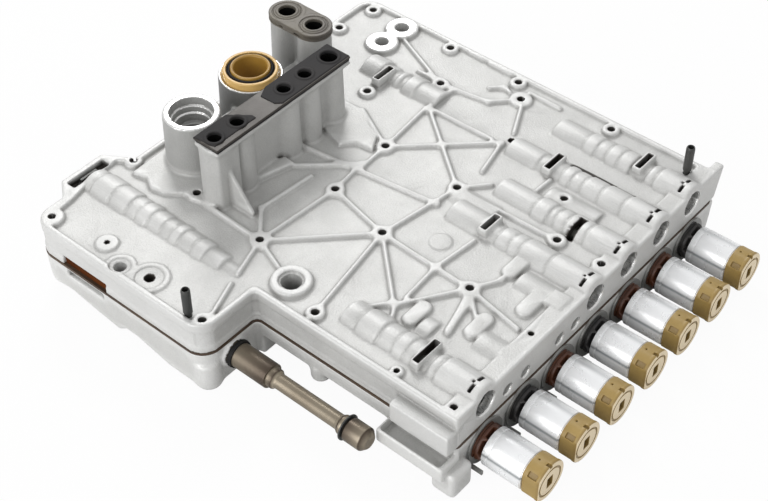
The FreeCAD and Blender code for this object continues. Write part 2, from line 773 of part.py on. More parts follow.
def lowerCasting():
    shell = planBody("lower_shell", -d.base_depth, d.base_depth - plateHalf)
    lowerPockets(shell)
    bossRadius = d.manual_depth - plateHalf
    manualBoss = turned("manual_boss_bar", steppedProfile(-d.wing_edge - d.manual_boss_length,
                                                          [(-d.wing_edge + 2, bossRadius)]))
    place(manualBoss, 0, d.manual_y, -d.manual_depth)
    trayLeft = -d.ledge_length - d.tray_overhang
    tray = prism("tray_block", rectangle(trayLeft, -d.tray_reach, 1, 2),
                 -d.tray_depth, d.tray_depth - d.tray_top)
    foot = prism("front_foot", rectangle(-d.foot_root, -d.foot_width, d.foot_reach, d.foot_reach),
                 -d.base_depth, d.base_depth - d.tray_depth + 2)
    drop = ear("lower_ear", -plateHalf, -d.base_depth + d.ear_lift, 0)
    solid = joined("lower_solid", [shell, manualBoss, tray, foot, drop])
    noses = []
    for index in range(7):
        bore = turned("nose_bore_%d" % (index + 1),
                      steppedProfile(2, [(-d.nose_length - 1, d.nose_radius)]))
        place(bore, 0, solenoidY(index), -d.solenoid_depth)
        noses.append(bore)
    manualBore = turned("manual_bore", steppedProfile(
        -d.wing_edge + 5, [(-d.wing_edge - d.manual_inner - d.manual_travel - 3, d.manual_land)]))
    place(manualBore, 0, d.manual_y, -d.manual_depth)
    undercut = prism("notch_undercut", rectangle(-d.wing_edge + d.notch_margin, -2,
                                                 trayLeft - d.notch_margin, d.notch_setback),
                     -d.base_depth - 1, d.base_depth + 1 - d.notch_wall_depth)
    notchBoss = discs("notch_boss", [(d.notch_boss_x, d.notch_boss_y, d.notch_boss_radius)],
                      -d.notch_boss_depth, d.notch_boss_depth - d.notch_wall_depth + 1)
    wingCut = prism("wing_undercut", rectangle(-d.wing_reach - 2, wingFront - 2,
                                               -d.wing_cut_right, wingFront + d.wing_cut_back),
                    -d.base_depth - 1, d.base_depth + 1 - d.wing_cut_depth)
    trayHollow = prism("tray_hollow", rectangle(trayLeft + d.tray_wall, -d.tray_reach + d.tray_wall,
                                                1 - d.tray_wall, 0),
                       -d.tray_depth + d.tray_floor, d.tray_depth)
    window = prism("lower_window", rectangle(-d.window_left + d.lower_window_inset, wingFront - 1,
                                             -d.window_right - d.lower_window_inset,
                                             wingFront + d.lower_window_depth),
                   -d.lower_window_bottom, d.lower_window_height)
    holes = discs("lower_screw_holes",
                  [(hub[name][0], hub[name][1], d.screw_radius + d.screw_clearance)
                   for name in screwHubs]
                  + [(d.case_bolt_x, d.case_bolt_y, d.case_bolt_radius)],
                  -d.base_depth - 1, d.base_depth + 2)
    heads = discs("screw_head_seats",
                  [(hub[name][0], hub[name][1], d.screw_head + d.screw_seat_gap)
                   for name in screwHubs],
                  -d.base_depth - 1, d.screw_head_height + d.screw_seat_inset + 1)
    tools = joined("lower_tools", noses + [manualBore, undercut, wingCut, trayHollow, window,
                                           holes, heads])
    bare = cut("lower_bare", solid, tools)
    return asNode(joined("lower_casting", [bare, notchBoss]), "lower_casting")


def solenoidNoses():
    groups = {"brown": [0, 2, 4, 5], "black": [1, 3, 6]}
    for colour, indices in groups.items():
        noses = []
        for index in indices:
            nose = turned("nose_%d" % (index + 1), steppedProfile(
                -d.nose_length, [(d.clip_thickness + d.fit_clearance, d.nose_radius - d.fit_clearance),
                                 (d.collar_length, d.collar_radius)]))
            place(nose, 0, solenoidY(index), -d.solenoid_depth)
            noses.append(nose)
        group = joined("solenoid_noses_" + colour, noses)
        asNode(group, "solenoid_noses_" + colour)


# A spring steel ring behind each collar with one arm bent out along the can.
def solenoidClips():
    clips = []
    for index in range(7):
        ring = turned("clip_ring_%d" % (index + 1), hollowProfile(
            0.0, d.clip_thickness, d.nose_radius + d.fit_clearance, d.clip_radius))
        place(ring, 0, solenoidY(index), -d.solenoid_depth)
        arm = sideways("clip_arm_%d" % (index + 1), rectangle(
            -d.clip_radius, -d.clip_drop - d.clip_arm / 2, -d.clip_radius + d.clip_thickness,
            -d.clip_drop + d.clip_arm / 2), 0.0, d.clip_reach)
        place(arm, 0, solenoidY(index), -d.solenoid_depth)
        clips.append(joined("clip_%d" % (index + 1), [ring, arm]))
    return asNode(joined("solenoid_clips", clips), "solenoid_clips")


def solenoidCan(index):
    name = "solenoid_can_%d" % (index + 1)
    body = turned(name, steppedProfile(0.0, [(d.can_length, d.can_radius)]))
    return asNode(body, name, d.collar_length, solenoidY(index), -d.solenoid_depth)


# The plug cap is round, with a flat on the side towards the first solenoid's end of the row.
def solenoidCap(index):
    name = "solenoid_cap_%d" % (index + 1)
    body = doc.addObject("PartDesign::Body", name)
    sketch = newSketch(body, name + "_outline", "YZ_Plane")
    radius, flat = float(d.cap_radius), float(d.cap_flat)
    half = math.sqrt(radius ** 2 - flat ** 2)
    end = math.atan2(half, -flat)
    centre, up = FreeCAD.Vector(0, 0, 0), FreeCAD.Vector(0, 0, 1)
    arc = sketch.addGeometry(Part.ArcOfCircle(Part.Circle(centre, up, radius), -end, end))
    chord = sketch.addGeometry(Part.LineSegment(FreeCAD.Vector(-flat, half, 0),
                                                FreeCAD.Vector(-flat, -half, 0)))
    sketch.addConstraint([
        Sketcher.Constraint("Coincident", arc, 2, chord, 1),
        Sketcher.Constraint("Coincident", chord, 2, arc, 1),
        Sketcher.Constraint("Coincident", arc, 3, -1, 1),
        Sketcher.Constraint("Vertical", chord),
        Sketcher.Constraint("Radius", arc, radius),
        Sketcher.Constraint("DistanceX", chord, 1, -1, 1, flat),
    ])
    sketch.setExpression("Constraints[4]", d.cap_radius.text)
    sketch.setExpression("Constraints[5]", d.cap_flat.text)
    pad(body, sketch, name + "_pad", d.cap_length)
    socket = newSketch(body, name + "_socket_outline", "YZ_Plane", d.cap_length)
    addOutline(socket, rectangle(-d.socket_width / 2, -d.socket_height / 2,
                                 d.socket_width / 2, d.socket_height / 2))
    pocket(body, socket, name + "_socket", d.socket_depth)
    return asNode(body, name, d.collar_length + d.can_length, solenoidY(index), -d.solenoid_depth)


def manualValve():
    # distances run from the outer end inwards
    tip = -d.wing_edge + d.manual_out
    endLand = tip - d.manual_end_length
    landOut = -d.wing_edge + d.manual_land_out
    inner = -d.wing_edge - d.manual_inner
    running = d.manual_land - d.spool_clearance
    groove = tip - d.manual_end_land
    collar = d.manual_end - 1
    step = landOut + d.manual_step_length
    stepRadius = d.manual_land - d.manual_step
    waistStart = -d.wing_edge - d.manual_waist_start
    waistEnd = -d.wing_edge - d.manual_waist_end
    profile = [(tip, 0), (tip, d.manual_end - d.manual_chamfer),
               (tip - d.manual_chamfer, d.manual_end), (groove, d.manual_end),
               (groove, d.manual_stem), (endLand + d.manual_collar, d.manual_stem),
               (endLand + d.manual_collar, collar), (endLand, collar), (endLand, d.manual_stem),
               (step, d.manual_stem), (step, stepRadius), (landOut, stepRadius), (landOut, running),
               (waistStart, running), (waistStart, d.manual_stem),
               (waistEnd, d.manual_stem), (waistEnd, running), (inner, running), (inner, 0)]
    body = turned("manual_valve", profile)
    return asNode(body, "manual_valve", 0, d.manual_y, -d.manual_depth)


def snapRing():
    collarEnd = -d.wing_edge + d.manual_out - d.manual_end_length + d.manual_collar
    at = collarEnd + d.ring_gap
    body = turned("manual_valve_snap_ring", hollowProfile(
        at, at + d.ring_groove, d.manual_stem + d.fit_clearance, d.manual_end + d.ring_reach))
    return asNode(body, "manual_valve_snap_ring", 0, d.manual_y, -d.manual_depth)


def sealCollar():
    # black seal ring at the mouth of the manual valve's bore
    start = -d.wing_edge + d.lip_gap
    body = turned("manual_valve_seal", hollowProfile(
        start, start + d.lip_width, d.manual_land + d.spool_clearance, d.manual_land + d.lip_wall))
    return asNode(body, "manual_valve_seal", 0, d.manual_y, -d.manual_depth)


def spoolValve(name, mouth, y, outward):
    land = d.valve_bore - d.spool_clearance
    outer = mouth - outward * (d.mouth_depth + d.spool_gap)
    inner = outer - outward * (d.spool_length - d.spool_gap * 2)
    waistStart = outer - outward * d.spool_land
    waistEnd = inner + outward * d.spool_land
    body = turned(name, steppedProfile(outer, [(waistStart, land), (waistEnd, land - d.spool_waist),
                                               (inner, land)]))
    return asNode(body, name, 0, y, d.valve_height)


# A compression spring bent from square wire, with eight straight lengths to each turn.
def springSolid(length, radius, wire, turns):
    steps = 8
    count = steps * turns
    pitch = (length - wire) / count

    def section(index):
        angle = 2 * math.pi * index / steps
        x = index * pitch
        points = []
        for shift, reach in ((0, 0), (wire, 0), (wire, wire), (0, wire)):
            r = radius - reach
            points.append(FreeCAD.Vector(x + shift, r * math.cos(angle), r * math.sin(angle)))
        return points

    rings = [section(index) for index in range(count + 1)]
    faces = [Part.Face(Part.makePolygon(rings[0] + rings[0][:1])),
             Part.Face(Part.makePolygon(rings[-1] + rings[-1][:1]))]
    for near, far in zip(rings, rings[1:]):
        for k in range(4):
            a, b, c, e = near[k], near[(k + 1) % 4], far[(k + 1) % 4], far[k]
            faces.append(Part.Face(Part.makePolygon([a, b, c, a])))
            faces.append(Part.Face(Part.makePolygon([a, c, e, a])))
    shell = Part.Shell(faces)
    shell.sewShape()
    solid = Part.makeSolid(shell)
    if solid.Volume < 0:
        solid.reverse()
    return solid


def valveSpring(name, mouth, y, outward):
    coil = springSolid(float(d.spring_length - d.spring_gap), float(d.valve_bore - d.spring_side_gap),
                       float(d.spring_wire), springTurns)
    inner = mouth - boreEnd(outward)
    start = inner + d.spring_gap if outward > 0 else inner - d.spring_length
    item = doc.addObject("Part::Feature", name)
    item.Shape = coil
    return asNode(item, name, start, y, d.valve_height)


def endPlugs():
    plugs = []
    for name, mouth, y, outward in valveTrains():
        outer = mouth - outward * (d.rail_width / 2 + d.retainer_thickness / 2 + d.fit_clearance)
        inner = mouth - outward * d.mouth_depth
        plug = turned(name + "_plug", steppedProfile(outer, [(inner, d.mouth_bore - d.fit_clearance)]))
        place(plug, 0, y, d.valve_height)
        plugs.append(plug)
    return asNode(joined("end_plugs", plugs), "end_plugs")


def smallPlugs():
    plugs = []
    for index, y in enumerate(smallBoreYs):
        inner = -d.small_plug_inset - d.small_plug_length
        plug = turned("small_plug_%d" % (index + 1), steppedProfile(
            -d.small_plug_inset, [(inner, d.small_bore - d.fit_clearance)]))
        place(plug, 0, y, d.small_bore_height)
        plugs.append(plug)
    return asNode(joined("small_plugs", plugs), "small_plugs")


def retainers():
    plates = []
    for name, mouth, y, outward in valveTrains():
        middle = mouth - outward * (d.rail_width / 2)
        wide = d.retainer_thickness / 2
        half = d.retainer_width / 2
        neck = d.retainer_neck
        top = d.rim_height - d.retainer_drop
        bottom = d.valve_height - d.mouth_bore + d.spool_gap
        fork = doc.addObject("PartDesign::Body", name + "_retainer")
        sketch = newSketch(fork, name + "_retainer_outline", "YZ_Plane", middle - wide)
        addOutline(sketch, [(y - half, bottom), (y - neck, bottom), (y - neck, d.valve_height + neck),
                            (y + neck, d.valve_height + neck), (y + neck, bottom),
                            (y + half, bottom), (y + half, top), (y - half, top)])
        pad(fork, sketch, name + "_retainer_pad", d.retainer_thickness)
        plates.append(fork)
    return asNode(joined("retainer_plates", plates), "retainer_plates")


def valveTrains():
    trains = [(name, 0.0, row[0], 1) for name, row in valveRows.items()]
    trains.append(("wing", -d.bulge_reach, wingRow, -1))
    return trains


def sealPlates():
    outline = rectangle(sealLeft, d.seal_start, sealRight, sealEnd)
    for name, bottom, thickness in (("long_seal_rubber", sealBottom, d.rubber_thickness),
                                    ("long_seal_plate", sealBottom + d.rubber_thickness,
                                     d.seal_thickness)):
        body = prism(name, outline, bottom, thickness)
        sketch = newSketch(body, name + "_ports", "XY_Plane", bottom + thickness)
        for x, y, radius in longPorts:
            addCircle(sketch, x, y, radius)
        pocket(body, sketch, name + "_drilling", thickness)
        asNode(body, name)


# The short plate is two overlapping discs joined by a straight waist.
def shortSeal(name, bottom, thickness):
    body = doc.addObject("PartDesign::Body", name)
    first, second = d.short_seal_x, d.short_seal_x + d.short_seal_pitch
    waist = newSketch(body, name + "_waist", "XY_Plane", bottom)
    half = d.short_waist_half
    addOutline(waist, rectangle(first, d.short_seal_y - half, second, d.short_seal_y + half))
    pad(body, waist, name + "_waist_pad", thickness)
    for end, x in (("left", first), ("right", second)):
        disc = newSketch(body, name + "_" + end, "XY_Plane", bottom)
        addCircle(disc, x, d.short_seal_y, d.short_seal_radius)
        pad(body, disc, name + "_" + end + "_pad", thickness)
    ports = newSketch(body, name + "_ports", "XY_Plane", bottom + thickness)
    for x, y, radius in shortPorts:
        addCircle(ports, x, y, radius)
    pocket(body, ports, name + "_drilling", thickness)
    return asNode(body, name)


def ringBody(name, bottom, height, inner, outer):
    body = discs(name, [(d.post_x, d.rear_post_y, outer)], bottom, height)
    sketch = newSketch(body, name + "_bore", "XY_Plane", bottom + height)
    addCircle(sketch, d.post_x, d.rear_post_y, inner)
    pocket(body, sketch, name + "_boring", height)
    return asNode(body, name)


def oilSleeve():
    bottom = d.rear_post_top - d.rear_bore_depth
    height = d.rear_bore_depth + d.sleeve_height
    outer = d.rear_post_bore - d.fit_clearance
    ringInner = outer - d.sleeve_wall
    sealOuter = ringInner - d.fit_clearance
    sealInner = sealOuter - d.sleeve_seal
    tubeOuter = sealInner - d.fit_clearance
    ringBody("sleeve_ring", bottom, height - d.sleeve_step * 2, ringInner, outer)
    ringBody("sleeve_seal", bottom, height - d.sleeve_step, sealInner, sealOuter)
    ringBody("sleeve_tube", bottom, height, tubeOuter - d.sleeve_tube, tubeOuter)


def rollPins():
    pins = []
    for side, x, y in (("left", d.pin_left_x, d.pin_left_y), ("right", d.pin_right_x, d.pin_right_y)):
        bottom = webTop - d.pin_seat
        shoulder = d.rim_height + d.pin_relief
        pin = discs("roll_pin_" + side, [(x, y, d.pin_radius - d.pin_shoulder)], bottom,
                    shoulder - bottom)
        barrel = newSketch(pin, "roll_pin_barrel_" + side, "XY_Plane", shoulder)
        addCircle(barrel, x, y, d.pin_radius)
        pad(pin, barrel, "roll_pin_barrel_pad_" + side, d.pin_height)
        bore = newSketch(pin, "roll_pin_bore_" + side, "XY_Plane", shoulder + d.pin_height)
        addCircle(bore, x, y, d.pin_radius - d.pin_wall)
        pocket(pin, bore, "roll_pin_boring_" + side, d.pin_height)
        pins.append(pin)
    return asNode(joined("roll_pins", pins), "roll_pins")


def hexagon(x, y, radius):
    corners = []
    for index in range(6):
        angle = math.pi * index / 3
        corners.append((x + radius * math.cos(angle), y + radius * math.sin(angle)))
    return corners


def castingScrews():
    screws = []
    headTop = -d.base_depth + d.screw_head_height + d.screw_seat_inset
    for name in screwHubs:
        x, y = hub[name]
        head = prism(name + "_screw", hexagon(x, y, d.screw_head), headTop - d.screw_head_height,
                     d.screw_head_height)
        shank = newSketch(head, name + "_shank", "XY_Plane", headTop)
        addCircle(shank, x, y, d.screw_radius)
        pad(head, shank, name + "_shank_pad", d.rim_height - d.screw_tip_inset - headTop)
        screws.append(head)
    return asNode(joined("casting_screws", screws), "casting_screws")


def windowInsert():
    gap = d.fit_clearance
    body = prism("window_insert", rectangle(
        -d.window_left + gap, wingFront + d.window_depth - d.insert_thickness,
        -d.window_right - gap, wingFront + d.window_depth - gap),
        plateHalf, d.window_height - plateHalf - gap)
    return asNode(body, "window_insert")


def build():
    upperCasting()
    separatorPlate()
    lowerCasting()
    solenoidNoses()
    solenoidClips()
    for index in range(7):
        solenoidCan(index)
        solenoidCap(index)
    manualValve()
    snapRing()
    sealCollar()
    for name, mouth, y, outward in valveTrains():
        spoolValve(name + "_spool_valve", mouth, y, outward)
        valveSpring(name + "_valve_spring", mouth, y, outward)
    endPlugs()
    smallPlugs()
    retainers()
    sealPlates()
    shortSeal("short_seal_rubber", shortBottom, d.short_rubber_thickness)
    shortSeal("short_seal_plate", shortBottom + d.short_rubber_thickness, d.seal_thickness)
    oilSleeve()
    rollPins()
    castingScrews()
    windowInsert()


def check():
    for item in doc.Objects:
        if "Invalid" in item.State or "Error" in item.State:
            raise RuntimeError("failed: %s (%s)" % (item.Name, item.State))
    for item in nodes:
        if item.Shape.isNull() or not item.Shape.isValid():
            raise RuntimeError("bad shape: " + item.Label)


build()
doc.recompute()
check()
os.makedirs("parts", exist_ok=True)
for item in nodes:
    item.Shape.exportStep("parts/" + item.Label + ".step")
    print(item.Label, len(item.Shape.Solids), round(item.Shape.Volume))
print(len(nodes), "nodes")
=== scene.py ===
import math
import bmesh
import bpy
import numpy as np
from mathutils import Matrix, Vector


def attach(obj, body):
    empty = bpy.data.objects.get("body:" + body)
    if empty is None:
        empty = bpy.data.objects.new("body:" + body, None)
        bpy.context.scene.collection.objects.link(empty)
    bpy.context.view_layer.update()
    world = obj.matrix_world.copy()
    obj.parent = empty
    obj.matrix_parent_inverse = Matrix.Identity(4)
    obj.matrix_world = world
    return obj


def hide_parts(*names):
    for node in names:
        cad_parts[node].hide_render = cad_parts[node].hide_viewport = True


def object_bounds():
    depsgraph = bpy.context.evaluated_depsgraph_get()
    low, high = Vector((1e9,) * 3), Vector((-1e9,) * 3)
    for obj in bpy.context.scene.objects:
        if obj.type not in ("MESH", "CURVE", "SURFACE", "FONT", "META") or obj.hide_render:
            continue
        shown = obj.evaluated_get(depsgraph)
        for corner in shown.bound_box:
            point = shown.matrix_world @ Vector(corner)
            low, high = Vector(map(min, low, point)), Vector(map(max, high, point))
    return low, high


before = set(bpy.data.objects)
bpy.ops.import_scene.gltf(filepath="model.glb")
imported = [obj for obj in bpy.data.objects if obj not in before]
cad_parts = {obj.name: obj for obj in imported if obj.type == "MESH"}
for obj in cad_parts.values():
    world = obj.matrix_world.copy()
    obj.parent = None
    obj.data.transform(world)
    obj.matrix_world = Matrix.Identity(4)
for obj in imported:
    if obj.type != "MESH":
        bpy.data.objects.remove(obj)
import openvdb
from mathutils import Matrix, Vector

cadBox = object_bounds()

# Shapes are drawn in millimetres from the corner where the solenoid face meets the notch side,
# with z = 0 in the joint between the castings. drawingOrigin is that corner in the frame.
drawingOrigin = np.array([125.0, -92.0, 25.0])
print("frame loaded:", len(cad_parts), "nodes")


# Meshes

def meshObject(name, points, quads=(), triangles=(), smooth=True):
    # puts vertex and face arrays into a new mesh object that stands at the origin
    points = (np.asarray(points, float) + drawingOrigin) * 0.001
    quads = np.asarray(quads, np.int32).reshape(-1, 4)
    triangles = np.asarray(triangles, np.int32).reshape(-1, 3)
    mesh = bpy.data.meshes.new(name)
    mesh.vertices.add(len(points))
    mesh.vertices.foreach_set("co", points.ravel())
    loops = np.concatenate([quads.ravel(), triangles.ravel()])
    mesh.loops.add(len(loops))
    mesh.loops.foreach_set("vertex_index", loops)
    sizes = np.concatenate([np.full(len(quads), 4), np.full(len(triangles), 3)])
    mesh.polygons.add(len(sizes))
    starts = np.concatenate([[0], np.cumsum(sizes)[:-1]]).astype(np.int32)
    mesh.polygons.foreach_set("loop_start", starts)
    mesh.polygons.foreach_set("use_smooth", np.full(len(sizes), smooth))
    mesh.update(calc_edges=True)
    mesh.validate()
    thing = bpy.data.objects.new(name, mesh)
    bpy.context.scene.collection.objects.link(thing)
    return thing


def drawn(thing):
    # the mesh's vertices, back in millimetres on the drawing
    points = np.empty(len(thing.data.vertices) * 3, np.float32)
    thing.data.vertices.foreach_get("co", points)
    return points.reshape(-1, 3) * 1000 - drawingOrigin


def facings(thing):
    # the way each vertex faces
    facing = np.empty(len(thing.data.vertices) * 3, np.float32)
    thing.data.vertices.foreach_get("normal", facing)
    return facing.reshape(-1, 3)


def baked(thing):
    # replaces the mesh of a piece by the result of its modifiers
    depsgraph = bpy.context.evaluated_depsgraph_get()
    result = bpy.data.meshes.new_from_object(thing.evaluated_get(depsgraph))
    thing.modifiers.clear()
    thing.data = result
    return thing


def sharpened(thing, degrees=35):
    # edges steeper than this angle are shaded sharp
    thing.data.set_sharp_from_angle(angle=math.radians(degrees))
    return thing


def addValue(thing, name, values):
    # stores one number per vertex for the materials
    layer = thing.data.attributes.new(name, "FLOAT", "POINT")
    layer.data.foreach_set("value", np.asarray(values, np.float32))


def dress(thing, material, slotName, body="body"):
    # a piece is named after the CAD node it stands in for, with _skin added
    thing.data.materials.clear()
    thing.data.materials.append(material)
    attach(thing, body)
    if "_skin" in thing.name:
        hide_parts(thing.name.replace("_skin", ""))


# Turned shapes

def roundedProfile(corners, steps=3):
    # corners are (distance, radius, rounding); each rounding becomes a short curve through its corner
    profile = []
    for index, (along, radius, rounding) in enumerate(corners):
        here = np.array([along, radius])
        if rounding == 0:
            profile.append(here)
            continue
        before = np.array(corners[index - 1][:2]) - here
        after = np.array(corners[(index + 1) % len(corners)][:2]) - here
        start = here + before / np.linalg.norm(before) * rounding
        end = here + after / np.linalg.norm(after) * rounding
        for t in np.linspace(0, 1, steps + 1):
            profile.append((1 - t) ** 2 * start + 2 * t * (1 - t) * here + t * t * end)
    return np.array(profile)


def turned(name, corners, centre, axis="x", segments=72, lumps=None, degrees=35):
    # a profile turned about a line through the centre; lumps may change a radius by its angle
    profile = roundedProfile(corners)
    count = len(profile)
    angles = np.arange(segments) * 2 * math.pi / segments
    along = np.repeat(profile[:, 0][None], segments, 0)
    radius = np.repeat(profile[:, 1][None], segments, 0)
    if lumps:
        along, radius = lumps(angles[:, None], along, radius)
    across, up = radius * np.cos(angles)[:, None], radius * np.sin(angles)[:, None]
    columns = [along, across, up] if axis == "x" else [across, up, along]
    points = np.stack(columns, -1).reshape(-1, 3) + np.array(centre)
    ring, step = np.meshgrid(np.arange(segments), np.arange(count), indexing="ij")
    a = ring * count + step
    b = ring * count + (step + 1) % count
    c = (ring + 1) % segments * count + (step + 1) % count
    d = (ring + 1) % segments * count + step
    quads = np.stack([a, b, c, d], -1).reshape(-1, 4)
    thing = meshObject(name, points, quads)
    merging = thing.modifiers.new("merging", "WELD")
    merging.merge_threshold = 0.000005
    baked(thing)
    work = bmesh.new()
    work.from_mesh(thing.data)
    bmesh.ops.recalc_face_normals(work, faces=work.faces)
    work.to_mesh(thing.data)
    work.free()
    return sharpened(thing, degrees)


def joinedPiece(name, things):
    # one object from several, so that a group of like pieces stays one object
    with bpy.context.temp_override(active_object=things[0], selected_editable_objects=things):
        bpy.ops.object.join()
    things[0].name = name
    return things[0]


# Solid shapes as distance functions on a block of voxels. A shape is (function, low, high).

def softMin(a, b, blend):
    # the lesser of two distances, with a fillet of about this size where they meet
    if blend <= 0:
        return np.minimum(a, b)
    overlap = np.maximum(blend - np.abs(a - b), 0)
    return np.minimum(a, b) - overlap * overlap / (4 * blend)


def softMax(a, b, blend):
    return -softMin(-a, -b, blend)


class Block:
    # values hold the distance to the surface in millimetres, negative inside
    def __init__(self, low, high, step):
        self.step = step
        self.axes = [np.arange(a, b + step, step, dtype=np.float32) for a, b in zip(low, high)]
        self.values = np.full([len(axis) for axis in self.axes], 20.0, np.float32)

    def window(self, low, high):
        cuts = []
        for axis, a, b in zip(self.axes, low, high):
            first, last = np.searchsorted(axis, [a, b])
            cuts.append(slice(max(first - 1, 0), min(last + 1, len(axis))))
        x, y, z = [axis[cut] for axis, cut in zip(self.axes, cuts)]
        return tuple(cuts), x[:, None, None], y[None, :, None], z[None, None, :]

    def change(self, shape, blend, joining):
        function, low, high = shape
        margin = blend + 3
        cuts, x, y, z = self.window(np.subtract(low, margin), np.add(high, margin))
        if joining:
            self.values[cuts] = softMin(self.values[cuts], function(x, y, z), blend)
        else:
            self.values[cuts] = softMax(self.values[cuts], -function(x, y, z), blend)

    def add(self, shape, blend=0.0):
        self.change(shape, blend, True)

    def cut(self, shape, blend=0.0):
        self.change(shape, blend, False)

    def soften(self, passes):
        # each pass is the mean of a voxel with its two neighbours, along each axis in turn
        for axis in [0, 1, 2] * passes:
            moved = np.moveaxis(self.values, axis, 0)
            middle = moved[1:-1] * 0.5
            middle += 0.25 * moved[:-2]
            middle += 0.25 * moved[2:]
            moved[1:-1] = middle

    def surface(self, name, triangleLimit, degrees=50):
        grid = openvdb.FloatGrid(20.0)
        grid.copyFromArray(self.values)
        points, triangles, quads = grid.convertToPolygons(isovalue=0.0)
        first = np.array([axis[0] for axis in self.axes])
        thing = meshObject(name, points * self.step + first, quads, triangles)
        count = 2 * len(quads) + len(triangles)
        if count > triangleLimit:
            thinning = thing.modifiers.new("thinning", "DECIMATE")
            thinning.ratio = triangleLimit / count
            baked(thing)
        print(name, count, "triangles, kept", sum(len(f.vertices) - 2 for f in thing.data.polygons))
        return sharpened(thing, degrees)

    def hollows(self, thing, reach):
        # how far each vertex lies in a crease (below zero) or on an edge (above zero): the mean
        # distance in the cells around it, less its own
        total = self.values.copy()
        for axis in range(3):
            for _ in range(2):
                before = np.roll(total, reach, axis)
                after = np.roll(total, -reach, axis)
                total = (before + total + after) / 3
        places = [np.clip(np.rint((part - axis[0]) / self.step).astype(int), 0, len(axis) - 1)
                  for part, axis in zip(drawn(thing).T, self.axes)]
        return total[tuple(places)] - self.values[tuple(places)]


def extruded(plan, z, low, high, edge):
    # a plan distance carried from low to high, with its rims rounded by edge
    across = plan + edge
    along = np.abs(z - (low + high) / 2) - (high - low) / 2 + edge
    outside = np.hypot(np.maximum(across, 0), np.maximum(along, 0))
    return outside + np.minimum(np.maximum(across, along), 0) - edge


def discPlan(x, y, centre, radius):
    return np.hypot(x - centre[0], y - centre[1]) - radius


def linePlan(x, y, start, end):
    # distance in plan from the straight line between two points
    dx, dy = end[0] - start[0], end[1] - start[1]
    share = np.clip(((x - start[0]) * dx + (y - start[1]) * dy) / (dx * dx + dy * dy), 0, 1)
    return np.hypot(x - start[0] - share * dx, y - start[1] - share * dy)


def polygonPlan(x, y, corners):
    # distance in plan from a closed outline, below zero inside it
    nearest = np.full(np.broadcast(x, y).shape, 1e6, np.float32)
    inside = np.zeros(nearest.shape, bool)
    for (ax, ay), (bx, by) in zip(corners, corners[1:] + corners[:1]):
        nearest = np.minimum(nearest, linePlan(x, y, (ax, ay), (bx, by)))
        if ay != by:
            crossing = ax + (y - ay) * (bx - ax) / (by - ay)
            inside ^= ((ay > y) != (by > y)) & (x < crossing)
    return np.where(inside, -nearest, nearest)


def brick(low, high, edge=0.6):
    middle, half = [(a + b) / 2 for a, b in zip(low, high)], [(b - a) / 2 - edge for a, b in zip(low, high)]

    def function(x, y, z):
        parts = [np.abs(v - m) - h for v, m, h in zip((x, y, z), middle, half)]
        outside = np.sqrt(sum(np.maximum(p, 0) ** 2 for p in parts))
        inside = np.minimum(np.maximum(np.maximum(parts[0], parts[1]), parts[2]), 0)
        return outside + inside - edge
    return function, low, high


def pillar(centre, radius, low, high, edge=0.6, foot=None):
    # an upright round bar; foot is its radius at the low end where it tapers
    spread = (foot or radius) - radius
    wide = max(radius, foot or 0)

    def function(x, y, z):
        widened = radius + spread * np.clip((high - z) / (high - low), 0, 1)
        return extruded(np.hypot(x - centre[0], y - centre[1]) - widened, z, low, high, edge)
    return function, (centre[0] - wide, centre[1] - wide, low), (centre[0] + wide, centre[1] + wide, high)


def bar(y0, z0, radius, start, end, edge=0.6):
    # a round bar along x
    low, high = min(start, end), max(start, end)
    return (lambda x, y, z: extruded(np.hypot(y - y0, z - z0) - radius, x, low, high, edge),
            (low, y0 - radius, z0 - radius), (high, y0 + radius, z0 + radius))


def slab(corners, low, high, edge):
    # an upright prism over an outline
    xs, ys = zip(*corners)
    return (lambda x, y, z: extruded(polygonPlan(x[:, :, 0], y[:, :, 0], corners)[:, :, None],
                                     z, low, high, edge),
            (min(xs), min(ys), low), (max(xs), max(ys), high))


# Sizes that both castings share
cast = {
    "rim": 20.6, "floor": 18.3, "plate": 0.8, "base": -25.0,
    "valveHeight": 13.2, "valveBore": 5.0, "mouthBore": 6.9, "running": 0.4,
    "solenoidFirst": 21.7, "pitch": 29.5, "solenoidZ": -12.5, "manualY": -17.0, "manualZ": -9.0,
}
outline = {
    "corners": [(-250, -37), (-127, -37), (-127, 0), (0, 0), (0, 221), (-244, 221), (-244, 30),
                (-260, 20), (-260, -8), (-250, -16)],
    # x and y of a corner, the side of it that is outside along x and y, radius
    "rounded": [(-127, -37, 1, -1, 11), (-244, 221, -1, 1, 11), (-250, -37, -1, -1, 11),
                (0, 0, 1, -1, 1.2), (0, 221, 1, 1, 1.2)],
    "notch": (-127, 0), "notchRadius": 3,
}
solenoidYs = [cast["solenoidFirst"] + cast["pitch"] * index for index in range(7)]


def outlinePlan(x, y):
    plan = polygonPlan(x, y, outline["corners"])
    for cornerX, cornerY, sideX, sideY, radius in outline["rounded"]:
        centreX, centreY = cornerX - sideX * radius, cornerY - sideY * radius
        beyond = (sideX * (x - centreX) > 0) & (sideY * (y - centreY) > 0)
        plan = np.where(beyond, np.maximum(plan, np.hypot(x - centreX, y - centreY) - radius), plan)
    # the inner corner of the notch is filled by a quarter round
    (notchX, notchY), radius = outline["notch"], outline["notchRadius"]
    inCorner = (x > notchX - 0.01) & (x < notchX + radius) & (y > notchY - radius) & (y < notchY + 0.01)
    filled = radius - np.hypot(x - notchX - radius, y - notchY + radius)
    return np.where(inCorner, np.minimum(plan, filled), plan).astype(np.float32)


# Materials

def socketValue(tree, socket, value):
    if isinstance(value, bpy.types.NodeSocket):
        tree.links.new(value, socket)
    elif isinstance(value, (tuple, list)) and len(value) == 3 and socket.type == "RGBA":
        socket.default_value = (*value, 1)
    else:
        socket.default_value = value


